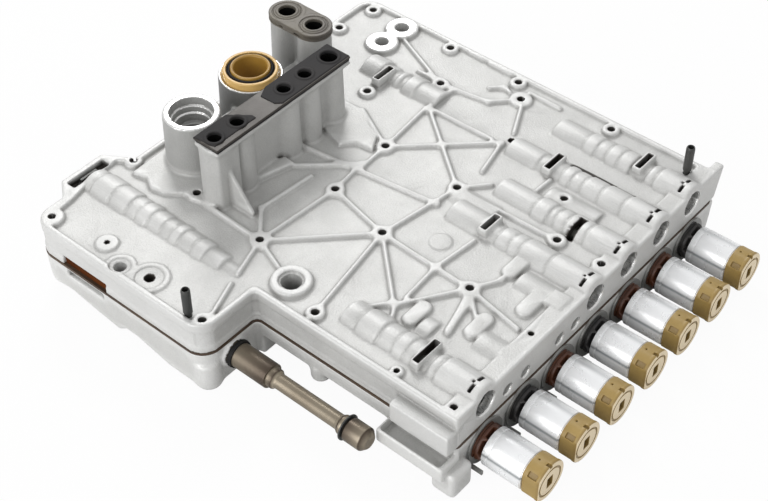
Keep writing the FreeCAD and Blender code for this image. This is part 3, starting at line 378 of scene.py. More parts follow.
def addNode(tree, kind, inputs=None, **settings):
    node = tree.nodes.new("ShaderNode" + kind)
    for key, value in settings.items():
        setattr(node, key, value)
    for key, value in (inputs or {}).items():
        socketValue(tree, node.inputs[key], value)
    return node


def mathValue(tree, operation, a, b):
    return addNode(tree, "Math", {0: a, 1: b}, operation=operation).outputs[0]


def product(tree, a, b):
    return mathValue(tree, "MULTIPLY", a, b)


def storedValue(tree, name):
    return addNode(tree, "Attribute", attribute_name=name).outputs["Fac"]


def coordinates(tree, kind):
    # the three parts of a point or of a normal in the object's own axes
    return addNode(tree, "SeparateXYZ", {0: addNode(tree, "TexCoord").outputs[kind]}).outputs


def ramp(tree, value, low, high, toLow=0.0, toHigh=1.0):
    node = addNode(tree, "MapRange", {"Value": value, "From Min": low, "From Max": high,
                                      "To Min": toLow, "To Max": toHigh}, clamp=True)
    return node.outputs[0]


def mixColor(tree, factor, a, b):
    # the sockets by number are the factor, both colours and the mixed colour
    node = addNode(tree, "Mix", data_type="RGBA")
    for socket, value in ((0, factor), (6, a), (7, b)):
        socketValue(tree, node.inputs[socket], value)
    return node.outputs[2]


def newGroup(name, inputs, outputs):
    group = bpy.data.node_groups.new(name, "ShaderNodeTree")
    for direction, sockets in (("INPUT", inputs), ("OUTPUT", outputs)):
        for label, kind in sockets:
            group.interface.new_socket(label, in_out=direction, socket_type="NodeSocket" + kind)
    return group, group.nodes.new("NodeGroupInput"), group.nodes.new("NodeGroupOutput")


def grainGroup():
    # a fine bump and slow patches, both fixed to the object
    group, source, sink = newGroup("surfaceGrain", [("Scale", "Float"), ("Depth", "Float")],
                                   [("Normal", "Vector"), ("Patches", "Float"), ("Specks", "Float")])
    place = addNode(group, "TexCoord").outputs["Object"]
    fine = addNode(group, "TexNoise", {"Vector": place, "Scale": source.outputs["Scale"], "Detail": 4.0})
    bump = addNode(group, "Bump", {"Height": fine.outputs[0], "Distance": source.outputs["Depth"],
                                   "Strength": 1.0})
    slow = addNode(group, "TexNoise", {"Vector": place, "Scale": 45.0, "Detail": 5.0, "Roughness": 0.65})
    group.links.new(bump.outputs[0], sink.inputs["Normal"])
    group.links.new(ramp(group, slow.outputs[0], 0.38, 0.64), sink.inputs["Patches"])
    group.links.new(ramp(group, fine.outputs[0], 0.3, 0.7), sink.inputs["Specks"])
    return group


surfaceGrain = grainGroup()


def newMaterial(name, look):
    # look holds colour, metallic and roughness, the grain's scale per metre and depth in metres,
    # and how much darker and rougher its patches are
    material = bpy.data.materials.new(name)
    material.use_nodes = True
    tree = material.node_tree
    shader = tree.nodes["Principled BSDF"]
    grain = tree.nodes.new("ShaderNodeGroup")
    grain.node_tree = surfaceGrain
    grain.inputs["Scale"].default_value = look.get("grainScale", 600.0)
    grain.inputs["Depth"].default_value = look.get("grainDepth", 0.00003)
    tree.links.new(grain.outputs["Normal"], shader.inputs["Normal"])
    shader.inputs["Metallic"].default_value = look.get("metallic", 0.0)
    if "specular" in look:
        shader.inputs["Specular IOR Level"].default_value = look["specular"]
    patches = grain.outputs["Patches"]
    color = mixColor(tree, patches, look["color"], look.get("patchColor", look["color"]))
    tree.links.new(color, shader.inputs["Base Color"])
    rough = look.get("roughness", 0.5)
    tree.links.new(ramp(tree, patches, 0.0, 1.0, rough, min(1.0, rough + look.get("patchRough", 0.06))),
                   shader.inputs["Roughness"])
    return material, tree, shader, grain, color


def towerShade(tree, look):
    # where a point is on the side of a tower, and how much painted shadow that tower gets
    place = addNode(tree, "TexCoord").outputs["Object"]
    x, y, z = addNode(tree, "SeparateXYZ", {0: place}).outputs
    trueNormal = addNode(tree, "NewGeometry").outputs["True Normal"]
    upright = addNode(tree, "SeparateXYZ", {0: trueNormal}).outputs["Z"]
    onTower = product(tree, ramp(tree, z, *look["foot"]), ramp(tree, x, *look["side"], 1.0, 0.0))
    flat = addNode(tree, "VectorMath", {0: place, 1: (1, 1, 0)}, operation="MULTIPLY").outputs[0]
    reach = addNode(tree, "VectorMath", {0: flat, 1: look["post"]}, operation="DISTANCE").outputs["Value"]
    shade = mathValue(tree, "MAXIMUM", ramp(tree, y, *look["shortRange"], look["rest"], look["short"]),
                      ramp(tree, reach, *look["postRange"], 1.0, 0.0))
    behind = product(tree, onTower, ramp(tree, x, *look["behind"], 1.0, 0.0))
    sides = product(tree, behind, ramp(tree, upright, *look["flatRange"], 1.0, 0.0))
    return onTower, product(tree, sides, shade)


def castMaterial(name, look):
    # painted shade lies in wide creases and in fine lines, a painted shadow on the sides of the towers, and a
    # painted highlight on the edges away from the towers
    material, tree, shader, grain, color = newMaterial(name, look)
    onTower, tower = towerShade(tree, look["towers"])
    machined = storedValue(tree, "machined")
    creaseShades = []
    for kind in ("crease", "line"):
        shadow = addNode(tree, "AmbientOcclusion", {"Distance": look[kind + "Reach"]}, samples=8,
                         only_local=True)
        creaseShades.append(ramp(tree, shadow.outputs["AO"], *look[kind + "Range"], look[kind + "Share"], 0.0))
    crease = mathValue(tree, "MAXIMUM", *creaseShades)
    edge = product(tree, ramp(tree, storedValue(tree, "hollow"), *look["edgeRange"]),
                   mathValue(tree, "SUBTRACT", 1.0, onTower))
    specks = product(tree, grain.outputs["Specks"], look["speckShare"])
    # in turn: random darker specks, the towers' painted shadow, painted shade in the creases, the painted
    # highlight on the edges, the machined finish and painted shade in the holes
    for share, layer in ((specks, "crease"), (tower, "tower"), (crease, "crease"),
                         (product(tree, edge, look["edgeShare"]), "edge"), (machined, "machined"),
                         (storedValue(tree, "deep"), "deep")):
        color = mixColor(tree, share, color, look[layer + "Color"])
    tree.links.new(color, shader.inputs["Base Color"])
    for socket, rough, finished in (
            (shader.inputs["Metallic"], look["metallic"], look["machinedMetallic"]),
            (shader.inputs["Roughness"], look["roughness"], look["machinedRoughness"]),
            (grain.inputs["Depth"], look["grainDepth"], 0.0)):
        tree.links.new(ramp(tree, machined, 0.0, 1.0, rough, finished), socket)
    return material


castLook = {
    "color": (0.60, 0.60, 0.587), "patchColor": (0.54, 0.54, 0.528), "metallic": 0.3, "roughness": 0.48,
    "grainScale": 1300.0, "grainDepth": 0.00025, "speckShare": 0.13,
    # painted shade from ambient occlusion in wide creases and in fine lines; the random specks share its
    # colour
    "creaseRange": (0.45, 0.97), "creaseShare": 0.75, "creaseReach": 0.003,
    "lineRange": (0.62, 0.97), "lineShare": 0.95, "lineReach": 0.0014, "creaseColor": (0.12, 0.115, 0.105),
    # a painted highlight on the edges away from the towers
    "edgeRange": (0.2, 0.6), "edgeShare": 0.4, "edgeColor": (0.82, 0.82, 0.81),
    "machinedColor": (0.80, 0.80, 0.79), "machinedMetallic": 0.85, "machinedRoughness": 0.27,
    # painted shade inside the holes, and the painted shadow on the sides of the towers
    "deepColor": (0.035, 0.03, 0.025), "towerColor": (0.15, 0.15, 0.145),
    # in metres; the photo's shadow is deepest on the post behind the seal plates, less on the short tower
    "towers": {"foot": (0.048, 0.050), "side": (-0.042, -0.040), "behind": (-0.0745, -0.0735),
               "post": (-0.094, 0.004, 0.0), "postRange": (0.0185, 0.0195), "shortRange": (0.0295, 0.0305),
               "flatRange": (0.5, 0.7), "short": 0.41, "rest": 0.37},
}
castAluminium = castMaterial("castAluminium", castLook)
# a lighter copy of the cast aluminium for the lower casting: painted light on its walls
litLowerAluminium = castMaterial("litLowerAluminium", {**castLook, "color": (0.70, 0.70, 0.685),
                                                 "patchColor": (0.64, 0.64, 0.625)})


# Upper casting

top = {
    "rimWidth": 3.4, "railWidth": 11.0, "ribWidth": 2.0, "ribTop": 20.3, "slope": 4.5, "fillet": 0.4,
    "join": 3.2, "hubRadius": 4.8, "hubTop": 20.35, "coreTop": 20.5, "holeRadius": 2.1, "humpRadius": 10.6,
    "swellRadius": 12.6, "padTop": 20.6, "triangles": 195000, "voxel": 0.6,
    # the block of voxels, and how high the deck without its towers reaches in it
    "low": (-262, -39, -1.0), "high": (2, 231, 61.5), "deckHigh": (2, 231, 26),
}
hubs = {
    "wingFront": (-243, -29), "wingBack": (-243, 28), "wingMiddle": (-199, 32),
    "wingCorner": (-133, -30), "bigHub": (-150, 28), "notch": (-95, 9),
    "frontHub": (-106, 72), "sealHub": (-146, 81), "middle": (-148, 124),
    "centre": (-98, 123), "rightHub": (-48, 70), "rowBack": (-50, 152),
    "rowFront": (-35, 125), "rail": (-8, 125), "backRight": (-63, 214),
    "backMiddle": (-126, 214), "rearHub": (-159, 185), "plateSide": (-186, 153),
    "leftSide": (-237, 187), "backLeft": (-233, 213), "backRow": (-175, 214),
}
ribLines = [
    ((-150, 28), (-166, 46)), ((-166, 46), (-163, 81)), ((-150, 28), (-146, 81)),
    ((-150, 28), (-106, 72)), ((-150, 28), (-142, 4)), ((-150, 28), (-119, 16)),
    ((-150, 28), (-199, 30)), ((-146, 81), (-106, 72)), ((-146, 81), (-149, 105)),
    ((-182, 96), (-98, 107)), ((-106, 72), (-95, 9)), ((-106, 72), (-72, 40)),
    ((-106, 72), (-48, 70)), ((-106, 72), (-98, 123)), ((-70, 70), (-67, 98)),
    ((-70, 70), (-68, 45)), ((-48, 70), (-69, 38)), ((-69, 38), (-64, 29.5)),
    ((-48, 70), (-38, 40)), ((-48, 70), (-31, 54)), ((-48, 70), (-14, 64)),
    ((-48, 70), (-40, 84)), ((-65, 147), (-64.5, 160)), ((-71, 38), (-79, 28)),
    ((-98, 123), (-150, 164)), ((-150, 164), (-159, 185)), ((-98, 123), (-86, 137)),
    ((-96, 142), (-102, 167)), ((-98, 123), (-35, 125)),
    ((-148, 124), (-102, 167)), ((-148, 124), (-152, 163)), ((-148, 124), (-178, 140)),
    ((-148, 124), (-147, 103)), ((-146, 165), (-108, 166)), ((-113, 200), (-102, 178)),
    ((-140, -3), (-132, -25)), ((-198, 54), (-170, 42)), ((-159, 185), (-205, 205)),
    ((-159, 185), (-129, 190)), ((-129, 190), (-116, 203)), ((-176, 81), (-149, 105)),
    ((-176, 186), (-166, 186)), ((-40, 86), (-36, 101)), ((-136, 200), (-130, 206)),
    ((-130, 206), (-124, 204)), ((-154, 172), (-151, 179)), ((-151, 179), (-150, 186)),
    ((-194, 74.4), (-192.5, 91.7)), ((-39, 42), (-42, 61)), ((-164, 218), (-155, 218)),
    ((-149, 217.5), (-134, 217.5)), ((-116, 211), (-95, 211)),
]
# Straight-sided areas that stand above the floor: outline, height, rounding of the corners
raisedAreas = [
    ([(-186.5, 58.9), (-188.8, 62.1), (-182.7, 81.9), (-175.7, 81.4), (-181.6, 59.9)], 21.4, 0.0),
    ([(-192, 124.7), (-186.9, 115), (-175.5, 111.5), (-168, 109.2), (-161.7, 115.6), (-151, 117),
      (-156.7, 127.4), (-166.7, 132.1), (-175.4, 139.3), (-192, 139)], 20.5, 0.0),
    ([(-235, 22.5), (-227, 24.5), (-220, 20.5), (-213, 22), (-204, 29), (-200, 29), (-200, 42), (-205, 50),
      (-236, 50)], 20.6, 1.5),
    ([(-15, 85.5), (-5, 85.5), (-5, 96), (-15, 96)], 21.2, 0.0),
    ([(-260, -36), (-262, 0), (-262, 24), (-244, 31), (-240, 26), (-250, 24), (-250, 14), (-248, 0),
      (-245, -13), (-244, -22)], 20.6, 0.0),
]
# Round-ended cores that run along y: x, from y, to y, radius
cores = [(-39.8, 92, 103, 4.2), (-19, 76, 86, 4.3), (-29.5, 48.5, 58.5, 4.1), (-57.3, 36, 45.5, 4.1)]
# Long low swellings along x over the passages: y, from x, to x
swellings = [(92, -34, -4), (47.5, -25, -4), (37, -52, -44), (120, -97, -70), (151, -60, -28)]
# Round areas: centre, radius, height. The second and third are the machined pads at the back.
roundAreas = [
    ((-118, 17), 10.5, 21.0), ((-208.3, 210.1), 9.6, 21.0), ((-208.6, 192.3), 9.6, 21.0),
    ((-191, -30), 8.5, 19.2), ((-174, -26), 10.5, 19.2), ((-208, -23), 6.0, 19.6), ((-116, 203), 6.4, 20.2),
    ((-243, -29), 6.4, 20.6), ((-80, 87), 6.0, 18.9), ((-41, 6), 3.4, 20.2), ((-188, 93), 2.6, 20.0),
]
caseHoles = [((-118, 17), 5.4), ((-191, -30), 3.3), ((-174, -26), 2.6), ((-208.3, 210.1), 4.0),
             ((-208.6, 192.3), 3.7)]
# Wider mouths of the first three case holes: radius, from this height up, rounding
caseMouths = [(6.6, 19.6, 0), (5.6, 18.6, 0.2), (7.4, 18.6, 0.2)]
smallHoles = [((-100, 173), 1.6), ((-41, 6), 1.5), ((-7, 6), 1.8), ((-7, 65), 1.5),
              ((-188, 93), 1.3), ((-116, 203), 2.2), ((-208, -23), 1.2)]
# Each valve hump: axis y, start, (end of the step, radius) inwards, and its slot (x, y, length, wall).
# The first step's radius is the hump's own at its mouth.
humps = {
    "first": (21.7, -1, [(-25.8, 10.9), (-30.6, 9.9), (-39.1, 8.8), (-44.4, 10.2), (-51.8, 10.5),
                         (-60.9, 10.0), (-74.1, 10.8), (-84, 10.1)], (-36.2, 22.0, 17.0, 1.0)),
    "fourth": (110.2, -1, [(-27.2, 10.9), (-44.4, 10.4), (-50.8, 10.0), (-58.8, 9.7), (-69.5, 8.8),
                           (-90, 10.3)], (-66.5, 110.4, 12.8, 1.3)),
    "fifth": (139.7, -1, [(-24.7, 10.9), (-37.5, 10.4), (-43.9, 10.0), (-48.3, 9.7), (-57.7, 10.3),
                          (-82, 9.5)], (-31.5, 137.0, 14.0, 0.0)),
    "sixth": (169.2, -1, [(-22.7, 10.9), (-36.6, 10.4), (-47.9, 10.0), (-54.9, 9.6), (-61.2, 9.9),
                          (-76, 9.2), (-97, 9.6)], (-69, 169.2, 13.5, 1.3)),
    "seventh": (198.7, -1, [(-21.6, 10.9), (-27, 10.0), (-36.6, 8.8), (-44.6, 10.2), (-52.2, 10.4),
                            (-59, 9.7), (-66.8, 10.2), (-87, 9.4)], (-32.8, 200.4, 13.6, 1.3)),
    "wing": (5.5, -250, [(-244, 10.2), (-230, 10.6), (-217.6, 10.3), (-210.7, 9.6), (-202.5, 9.9),
                         (-193.4, 9.3), (-187, 9.0), (-180.7, 9.4), (-171.6, 8.8), (-163, 9.0),
                         (-152, 8.0), (-143, 6.4)], None),
    "rear": (174, -203, [(-190, 10.6), (-183, 9.2), (-180, 8.4), (-176, 9.3), (-173, 8.4), (-164, 10.3),
                         (-149, 9.8)], (-186.5, 168, 13.5, 1.3)),
}
mouths = {name: -260 if name == "wing" else 0 for name in humps if name != "rear"}
slotSize = {"width": 3.4, "top": 23.9}
# The retaining plate's slot over each mouth lies this far in, on both sides of a small hole
retainer = {"inset": 6.5, "half": 0.8, "near": 1.3, "far": 5.9, "hole": 0.8, "holeInset": 7.9}
bored = {"valve": 62, "mouth": 12}
small = {"ys": [38.8, 52.9, 80.5, 93.7], "z": 8.0, "radius": 3.3, "depth": 9.0}
posts = {
    "front": {"centre": (-219, 51.5), "radius": 15.3, "top": 52.0, "hole": 6.8},
    "rear": {"centre": (-219, 96.0), "radius": 17.6, "top": 51.0},
}
seal = {"x": -188.0, "ports": [38.2, 54.5, 89.3, 105.4, 124.4], "start": 31.5, "end": 132.5,
        "half": 8.5, "bottom": 57.0, "top": 60.0, "radii": [4.2, 4.2, 4.2, 4.2, 5.2]}
shortSeal = {"y": 140.2, "xs": [-232.8, -213.0], "radius": 10.3, "half": 10.2, "bottom": 55.8, "top": 60.0,
             "port": 5.2}
tower = {
    "foot": 16.3, "flange": 54.4, "tube": 7.4, "tubeFoot": 8.2, "shortTube": 9.5, "shortFoot": 10.2,
    # the seal's ports are joined by a wall, which reaches this far to each side, and by a block at
    # the front: its half width and where it ends
    "wall": (4, 3), "frontBlock": (7.6, 48),
    # a thin wedge, as (x, z), props the seal's tubes from the side of the solenoids
    "wedge": [(-182, 16.3), (-165, 16.3), (-165, 20.6), (-180, 42), (-182, 42)], "wedgeY": (38.4, 40.8),
    # webs between the tubes and the posts: low corner, high corner, rounding, blend
    "shortWebs": [((-232, 136.2, 16.3), (-213, 145.2, 50), 1, 2.5),
                  ((-216, 55, 16.3), (-200, 92, 40), 2, 3.0),
                  ((-222, 100, 16.3), (-206, 140, 36), 2, 3.0)],
}
# The front post's stepped bore, and the sleeve's seat in the rear post: radius, depth, edge
frontBores = [(11.8, 5, 0), (10.4, 9, 0), (9.3, 14, 0.4)]
rearBores = [(15.25, 12, 0), (16.3, 0.8, 0)]
pinHoles, pinHole = [(-141.5, -31), (-13.3, 212)], 1.9
frontWindow = {"low": (-229, -40, 0), "high": (-197, -23, 6.4)}
ledge = {"low": (-35, -7, 0.5), "high": (0, 4, 13.5)}
# The ear at the back of the rail, as (y, z), and how far it reaches inwards
ear = {"upper": [(220, 0.8), (223.2, 0.8), (228.4, 20.6), (220, 20.6)],
       "lower": [(220, -0.8), (223.2, -0.8), (221.2, -20), (220, -20)], "reach": 5.5}
# The open recess between the wing hump's end and its rim, and the thin wall that closes it below
recess = {"low": (-256.2, -7, 16.0), "high": (-250.6, 18, 30), "edge": 0.8,
          # the recess's walls and floor within this last box get painted shade
          "dark": ((-257, -8, 14), (-250, 19, 19.4))}
recessWall = {"low": (-257.6, -3, 12.8), "high": (-256.2, 14, 20.4), "edge": 0.2}
# A shallow band that runs round the side walls: low, high, depth, slope
sideBand = {"low": 4.5, "high": 15.0, "depth": 0.7, "slope": 0.8}


def humpShape(axisY, start, steps):
    # a bar along x whose radius goes from step to step, with a fine groove at each step
    end = steps[-1][0]
    low, high = min(start, end), max(start, end)
    sign = 1 if end > start else -1
    stepWidth, groove = 0.6, 0.7

    def function(x, y, z):
        radius = np.full(x.shape, steps[0][1], np.float32)
        for (at, before), (_, after) in zip(steps, steps[1:]):
            radius = radius + (after - before) * np.clip(sign * (x - at) / stepWidth + 0.5, 0, 1)
            radius = radius - groove * np.exp(-((x - at) / stepWidth) ** 2)
        across = np.hypot(y - axisY, z - cast["valveHeight"]) - radius
        return softMax(across, np.abs(x - (low + high) / 2) - (high - low) / 2, 1.5)
    widest = top["humpRadius"]
    return (function, (low, axisY - widest, cast["valveHeight"] - widest),
            (high, axisY + widest, cast["valveHeight"] + widest))


def slotBrick(slot, wall, low, high, edge):
    # the slot over a valve, or the collar that stands round it by a wall
    x, y, length, _ = slot
    halfX, halfY = slotSize["width"] / 2 + wall, length / 2 + wall
    return brick((x - halfX, y - halfY, low), (x + halfX, y + halfY, high), edge)


def near(axes, low, high, margin=10):
    # the part of the plan within a margin of two corners
    return tuple(slice(*np.searchsorted(axis, [a - margin, b + margin]))
                 for axis, a, b in zip(axes, low, high))


def acrossX(outlineYZ, start, end, edge):
    # a prism along x over an outline in y and z
    ys, zs = zip(*outlineYZ)
    return (lambda x, y, z: extruded(polygonPlan(y[0], z[0], outlineYZ)[None], x, start, end, edge),
            (start, min(ys), min(zs)), (end, max(ys), max(zs)))


def acrossY(outlineXZ, start, end, edge=0.6):
    # a prism along y over an outline in x and z
    xs, zs = zip(*outlineXZ)
    return (lambda x, y, z: extruded(polygonPlan(x[:, 0], z[0], outlineXZ)[:, None], y, start, end, edge),
            (min(xs), start, min(zs)), (max(xs), end, max(zs)))


def topHeights(xs, ys):
    # height of the ribbed top over the plan: the floor, the rim, every rib and boss, softly joined
    x, y = xs[:, None], ys[None, :]
    plan = outlinePlan(x, y)
    height = np.full(plan.shape, cast["floor"], np.float32)

    def raise_(cell, distance, level, slope=top["slope"]):
        height[cell] = softMax(height[cell], level - slope * np.maximum(distance, 0), top["fillet"])

    everywhere = (slice(None), slice(None))
    raise_(everywhere, -plan - top["rimWidth"], cast["rim"])
    raise_(everywhere, -x - top["railWidth"] + 0 * y, cast["rim"])
    # ribs and hubs are first joined in plan, so that round webs fill the corners between them
    network = np.full(plan.shape, 30.0, np.float32)
    for start, end in ribLines + [(place, place) for place in hubs.values()]:
        cell = near((xs, ys), np.minimum(start, end), np.maximum(start, end), 18)
        if start == end:
            distance = discPlan(x[cell[0]], y[:, cell[1]], start, top["hubRadius"])
        else:
            distance = linePlan(x[cell[0]], y[:, cell[1]], start, end) - top["ribWidth"] / 2
        network[cell] = softMin(network[cell], distance, top["join"])
    raise_(everywhere, network, top["ribTop"])
    for across, start, end, radius in cores:
        first, last = (across, start), (across, end)
        cell = near((xs, ys), first, last)
        raise_(cell, linePlan(x[cell[0]], y[:, cell[1]], first, last) - radius, top["coreTop"])
    for corners, level, corner in raisedAreas:
        cell = near((xs, ys), np.min(corners, 0), np.max(corners, 0))
        raise_(cell, polygonPlan(x[cell[0]], y[:, cell[1]], corners) - corner, level)
    rounds = [(place, top["hubRadius"], top["hubTop"]) for place in hubs.values()] + roundAreas
    for place, radius, level in rounds:
        cell = near((xs, ys), place, place, radius + 10)
        raise_(cell, discPlan(x[cell[0]], y[:, cell[1]], place, radius), level)
    return height, plan


def towerShapes():
    # the posts and the seal towers that rise from the top
    foot, flange, middle = tower["foot"], tower["flange"], seal["x"]
    shapes = [(pillar(post["centre"], post["radius"], foot, post["top"], 0.9, post["radius"] + 0.8), 1.5)
              for post in posts.values()]
    for y in seal["ports"]:
        shapes.append((pillar((middle, y), tower["tube"], foot, seal["bottom"], 0.5, tower["tubeFoot"]), 2.0))
    ends, start, half = seal["ports"], seal["start"], seal["half"]
    (left, right), (wide, back) = tower["wall"], tower["frontBlock"]
    shapes.append((brick((middle - left, ends[0], foot), (middle + right, ends[-1], flange), 1), 2.5))
    shapes.append((brick((middle - wide, start + 1, foot), (middle + wide, back, flange), 1.5), 1.5))
    shapes.append((brick((middle - half, start, flange),
                         (middle + half, seal["end"], seal["bottom"]), 0.8), 2.0))
    for x in shortSeal["xs"]:
        shapes.append((pillar((x, shortSeal["y"]), tower["shortTube"], foot, shortSeal["bottom"], 0.5,
                              tower["shortFoot"]), 1.5))
    shapes += [(brick(low, high, edge), blend) for low, high, edge, blend in tower["shortWebs"]]
    shapes.append((acrossY(tower["wedge"], *tower["wedgeY"], 0.4), 0.8))
    return shapes


def towerCuts():
    ports = [((seal["x"], y), radius, seal["bottom"]) for y, radius in zip(seal["ports"], seal["radii"])]
    ports += [((x, shortSeal["y"]), shortSeal["port"], shortSeal["bottom"]) for x in shortSeal["xs"]]
    cuts = [pillar(place, radius, high - 30, high + 2, 0) for place, radius, high in ports]
    for post, bores in ((posts["front"], frontBores), (posts["rear"], rearBores)):
        cuts += [pillar(post["centre"], radius, post["top"] - depth, post["top"] + 3, edge)
                 for radius, depth, edge in bores]
    front = posts["front"]
    cuts.append(pillar(front["centre"], front["hole"], cast["floor"], front["top"], 0))
    return cuts


def retainerCuts(axisY, mouth, outward):
    # the slot in two parts beside the small hole
    middle, half = mouth - outward * retainer["inset"], retainer["half"]
    cuts = []
    for side in (-1, 1):
        ends = sorted((axisY + side * retainer["near"], axisY + side * retainer["far"]))
        cuts.append(brick((middle - half, ends[0], 6), (middle + half, ends[1], 30), 0))
    cuts.append(pillar((mouth - outward * retainer["holeInset"], axisY), retainer["hole"], 18, 30, 0))
    return cuts


def machinedCuts():
    cuts = [pillar(place, top["holeRadius"], 4, 30, 0) for place in hubs.values()]
    cuts += [pillar(place, radius, -2, 30, 0) for place, radius in caseHoles]
    cuts += [pillar(place, radius, low, 30, edge)
             for (place, _), (radius, low, edge) in zip(caseHoles, caseMouths)]
    cuts += [pillar(place, radius, 10, 30, 0) for place, radius in smallHoles]
    height = cast["valveHeight"]
    for name, (axisY, _, _, slot) in humps.items():
        if name in mouths:
            mouth, outward = mouths[name], -1 if name == "wing" else 1
            inner, seat = mouth - outward * bored["valve"], mouth - outward * bored["mouth"]
            cuts.append(bar(axisY, height, cast["valveBore"] + cast["running"], mouth, inner, 0))
            cuts.append(bar(axisY, height, cast["mouthBore"], mouth + 2 * outward, seat, 0))
            cuts += retainerCuts(axisY, mouth, outward)
        if slot:
            cuts.append(slotBrick(slot, 0, height, 30, 0))
    cuts += [bar(y, small["z"], small["radius"], 2, -small["depth"], 0) for y in small["ys"]]
    cuts += [pillar(place, pinHole, 8, 30, 0) for place in pinHoles]
    cuts.append(brick(frontWindow["low"], frontWindow["high"], 0))
    return cuts


def holeShade(points):
    # painted shade: 1 on the walls of the small holes, slots and bores, a little below their mouths
    x, y, z = points.T
    deep = np.zeros(len(points))
    for place, radius in [(place, top["holeRadius"]) for place in hubs.values()] + smallHoles + caseHoles:
        mouth, fade = (top["hubTop"] - 0.3, 0.4) if radius < 3 else (15.5, 3)
        below = np.clip((mouth - z) / fade, 0, 1)
        deep = np.maximum(deep, (discPlan(x, y, place, radius) < 0.45) * below)
    for name, (axisY, _, steps, slot) in humps.items():
        inwards = np.abs(x - mouths.get(name, 0))
        reach = np.hypot(y - axisY, z - cast["valveHeight"])
        bore = (reach < cast["mouthBore"] + 0.35) & (inwards < bored["valve"] + 2)
        deep = np.maximum(deep, bore * np.clip(inwards - 5, 0, 1))
        over = (np.abs(inwards - retainer["inset"]) < 1.3) & (np.abs(y - axisY) < 6.4) & (z > 19.5)
        deep = np.maximum(deep, over * np.clip((steps[0][1] - reach - 0.5) / 0.4, 0, 1))
        if slot:
            halfX, halfY = slotSize["width"] / 2 + 0.5, slot[2] / 2 + 0.5
            within = (np.abs(x - slot[0]) < halfX) & (np.abs(y - slot[1]) < halfY)
            deep = np.maximum(deep, within * np.clip((slotSize["top"] - 0.35 - z) / 0.4, 0, 1))
    for axisY in small["ys"]:
        bore = np.hypot(y - axisY, z - small["z"]) < small["radius"] + 0.35
        deep = np.maximum(deep, bore * np.clip(-1.6 - x, 0, 1) * (x > -small["depth"] - 1))
    # painted shade on the walls and the floor of the recess beside the wing hump
    (left, front, floor), (right, back, mouth) = recess["dark"]
    inRecess = (x > left) & (x < right) & (y > front) & (y < back) & (z > floor)
    return np.maximum(deep, inRecess * np.clip((mouth - z) / 0.6, 0, 1))


def boreWalls(points):
    # 1 on the machined first stretch of the bores in the solenoid face
    x, y, z = points.T
    bores = [(row[0], cast["valveHeight"], cast["mouthBore"], 5) for row in humps.values() if row[1] == -1]
    bores += [(axisY, small["z"], small["radius"], 1.6) for axisY in small["ys"]]
    walls = [(np.hypot(y - axisY, z - height) < radius + 0.5) & (x > -depth) & (x < -0.2)
             for axisY, height, radius, depth in bores]
    return np.max(walls, 0)


def mouthChamfer(axisY, height, radius, depth):
    # a cone that opens a bore towards the solenoid face
    def function(x, y, z):
        cone = np.hypot(y - axisY, z - height) - radius - np.maximum(x + depth, 0)
        return np.maximum(cone * 0.7, -x - depth)
    reach = radius + 3
    return function, (-depth, axisY - reach, height - reach), (2, axisY + reach, height + reach)


def upperSkin():
    block = Block(top["low"], top["high"], top["voxel"])
    xs, ys, zs = block.axes
    height, plan = topHeights(xs, ys)
    slopeX, slopeY = np.gradient(height, block.step)
    steep = np.sqrt(1 + slopeX ** 2 + slopeY ** 2)
    over = (zs[None, None, :] - height[:, :, None]) / steep[:, :, None]
    block.values = softMax(over, plan[:, :, None] + 0 * over, 0.6).astype(np.float32)
    for axisY, start, steps, slot in humps.values():
        block.add(humpShape(axisY, start, steps), 0.8)
        if slot and slot[3]:
            block.add(slotBrick(slot, slot[3], 16, slotSize["top"], 0.8), 1.2)
    for axisY, start, end in swellings:
        block.add(bar(axisY, small["z"], top["swellRadius"], start, end, 1.0), 0.6)
    # only what the outline holds is kept, apart from the ledge, the ear and the towers
    inside = block.window(top["low"], top["deckHigh"])[0]
    block.values[inside] = softMax(block.values[inside], plan[:, :, None][inside[:2]], 0.7)
    fromEdges = np.minimum(zs - sideBand["low"], sideBand["high"] - zs)
    band = sideBand["depth"] * np.clip(fromEdges / sideBand["slope"], 0, 1)
    wall = plan[:, :, None] + band[None, None, :]
    away = (xs[:, None, None] < -8) & (plan[:, :, None] > -6)
    block.values = np.where(away, np.maximum(block.values, wall), block.values)
    block.add(brick(ledge["low"], ledge["high"], 0.6), 0.6)
    block.add(acrossX(ear["upper"], -ear["reach"], 0, 0.8), 1.0)
    for shape, blend in towerShapes():
        block.add(shape, blend)
    block.soften(1)
    block.cut(brick(recess["low"], recess["high"], recess["edge"]), 0.8)
    for shape in machinedCuts() + towerCuts():
        block.cut(shape)
    block.add(brick(recessWall["low"], recessWall["high"], recessWall["edge"]))
    for name, mouth in mouths.items():
        if mouth == 0:
            block.cut(mouthChamfer(humps[name][0], cast["valveHeight"], cast["mouthBore"], 0.8))
    for y in small["ys"]:
        block.cut(mouthChamfer(y, small["z"], small["radius"], 0.6))
    block.values = np.maximum(block.values, cast["plate"] - zs[None, None, :])
    skin = block.surface("upper_casting_skin", top["triangles"])
    addValue(skin, "hollow", block.hollows(skin, 3))
    # the pads and post rims are machined bright
    points, facing = drawn(skin), facings(skin)
    machined = np.zeros(len(points))
    for place, radius, _ in roundAreas[1:3]:
        machined = np.maximum(machined, discPlan(*points.T[:2], place, radius) < 0)
    machined = machined * (points[:, 2] > top["padTop"]) * (facing[:, 2] > 0.7)
    machined = np.maximum(machined, boreWalls(points))
    for post in posts.values():
        around = discPlan(*points.T[:2], post["centre"], post["radius"] + 1) < 0
        rim = around & (points[:, 2] > post["top"] - 10) & (facing[:, 2] > 0.6)
        machined = np.maximum(machined, rim)
    # painted shade in the holes, slots, bores and the recess
    addValue(skin, "deep", holeShade(points))
    addValue(skin, "machined", machined)
    return skin


upper = upperSkin()


# Lower casting

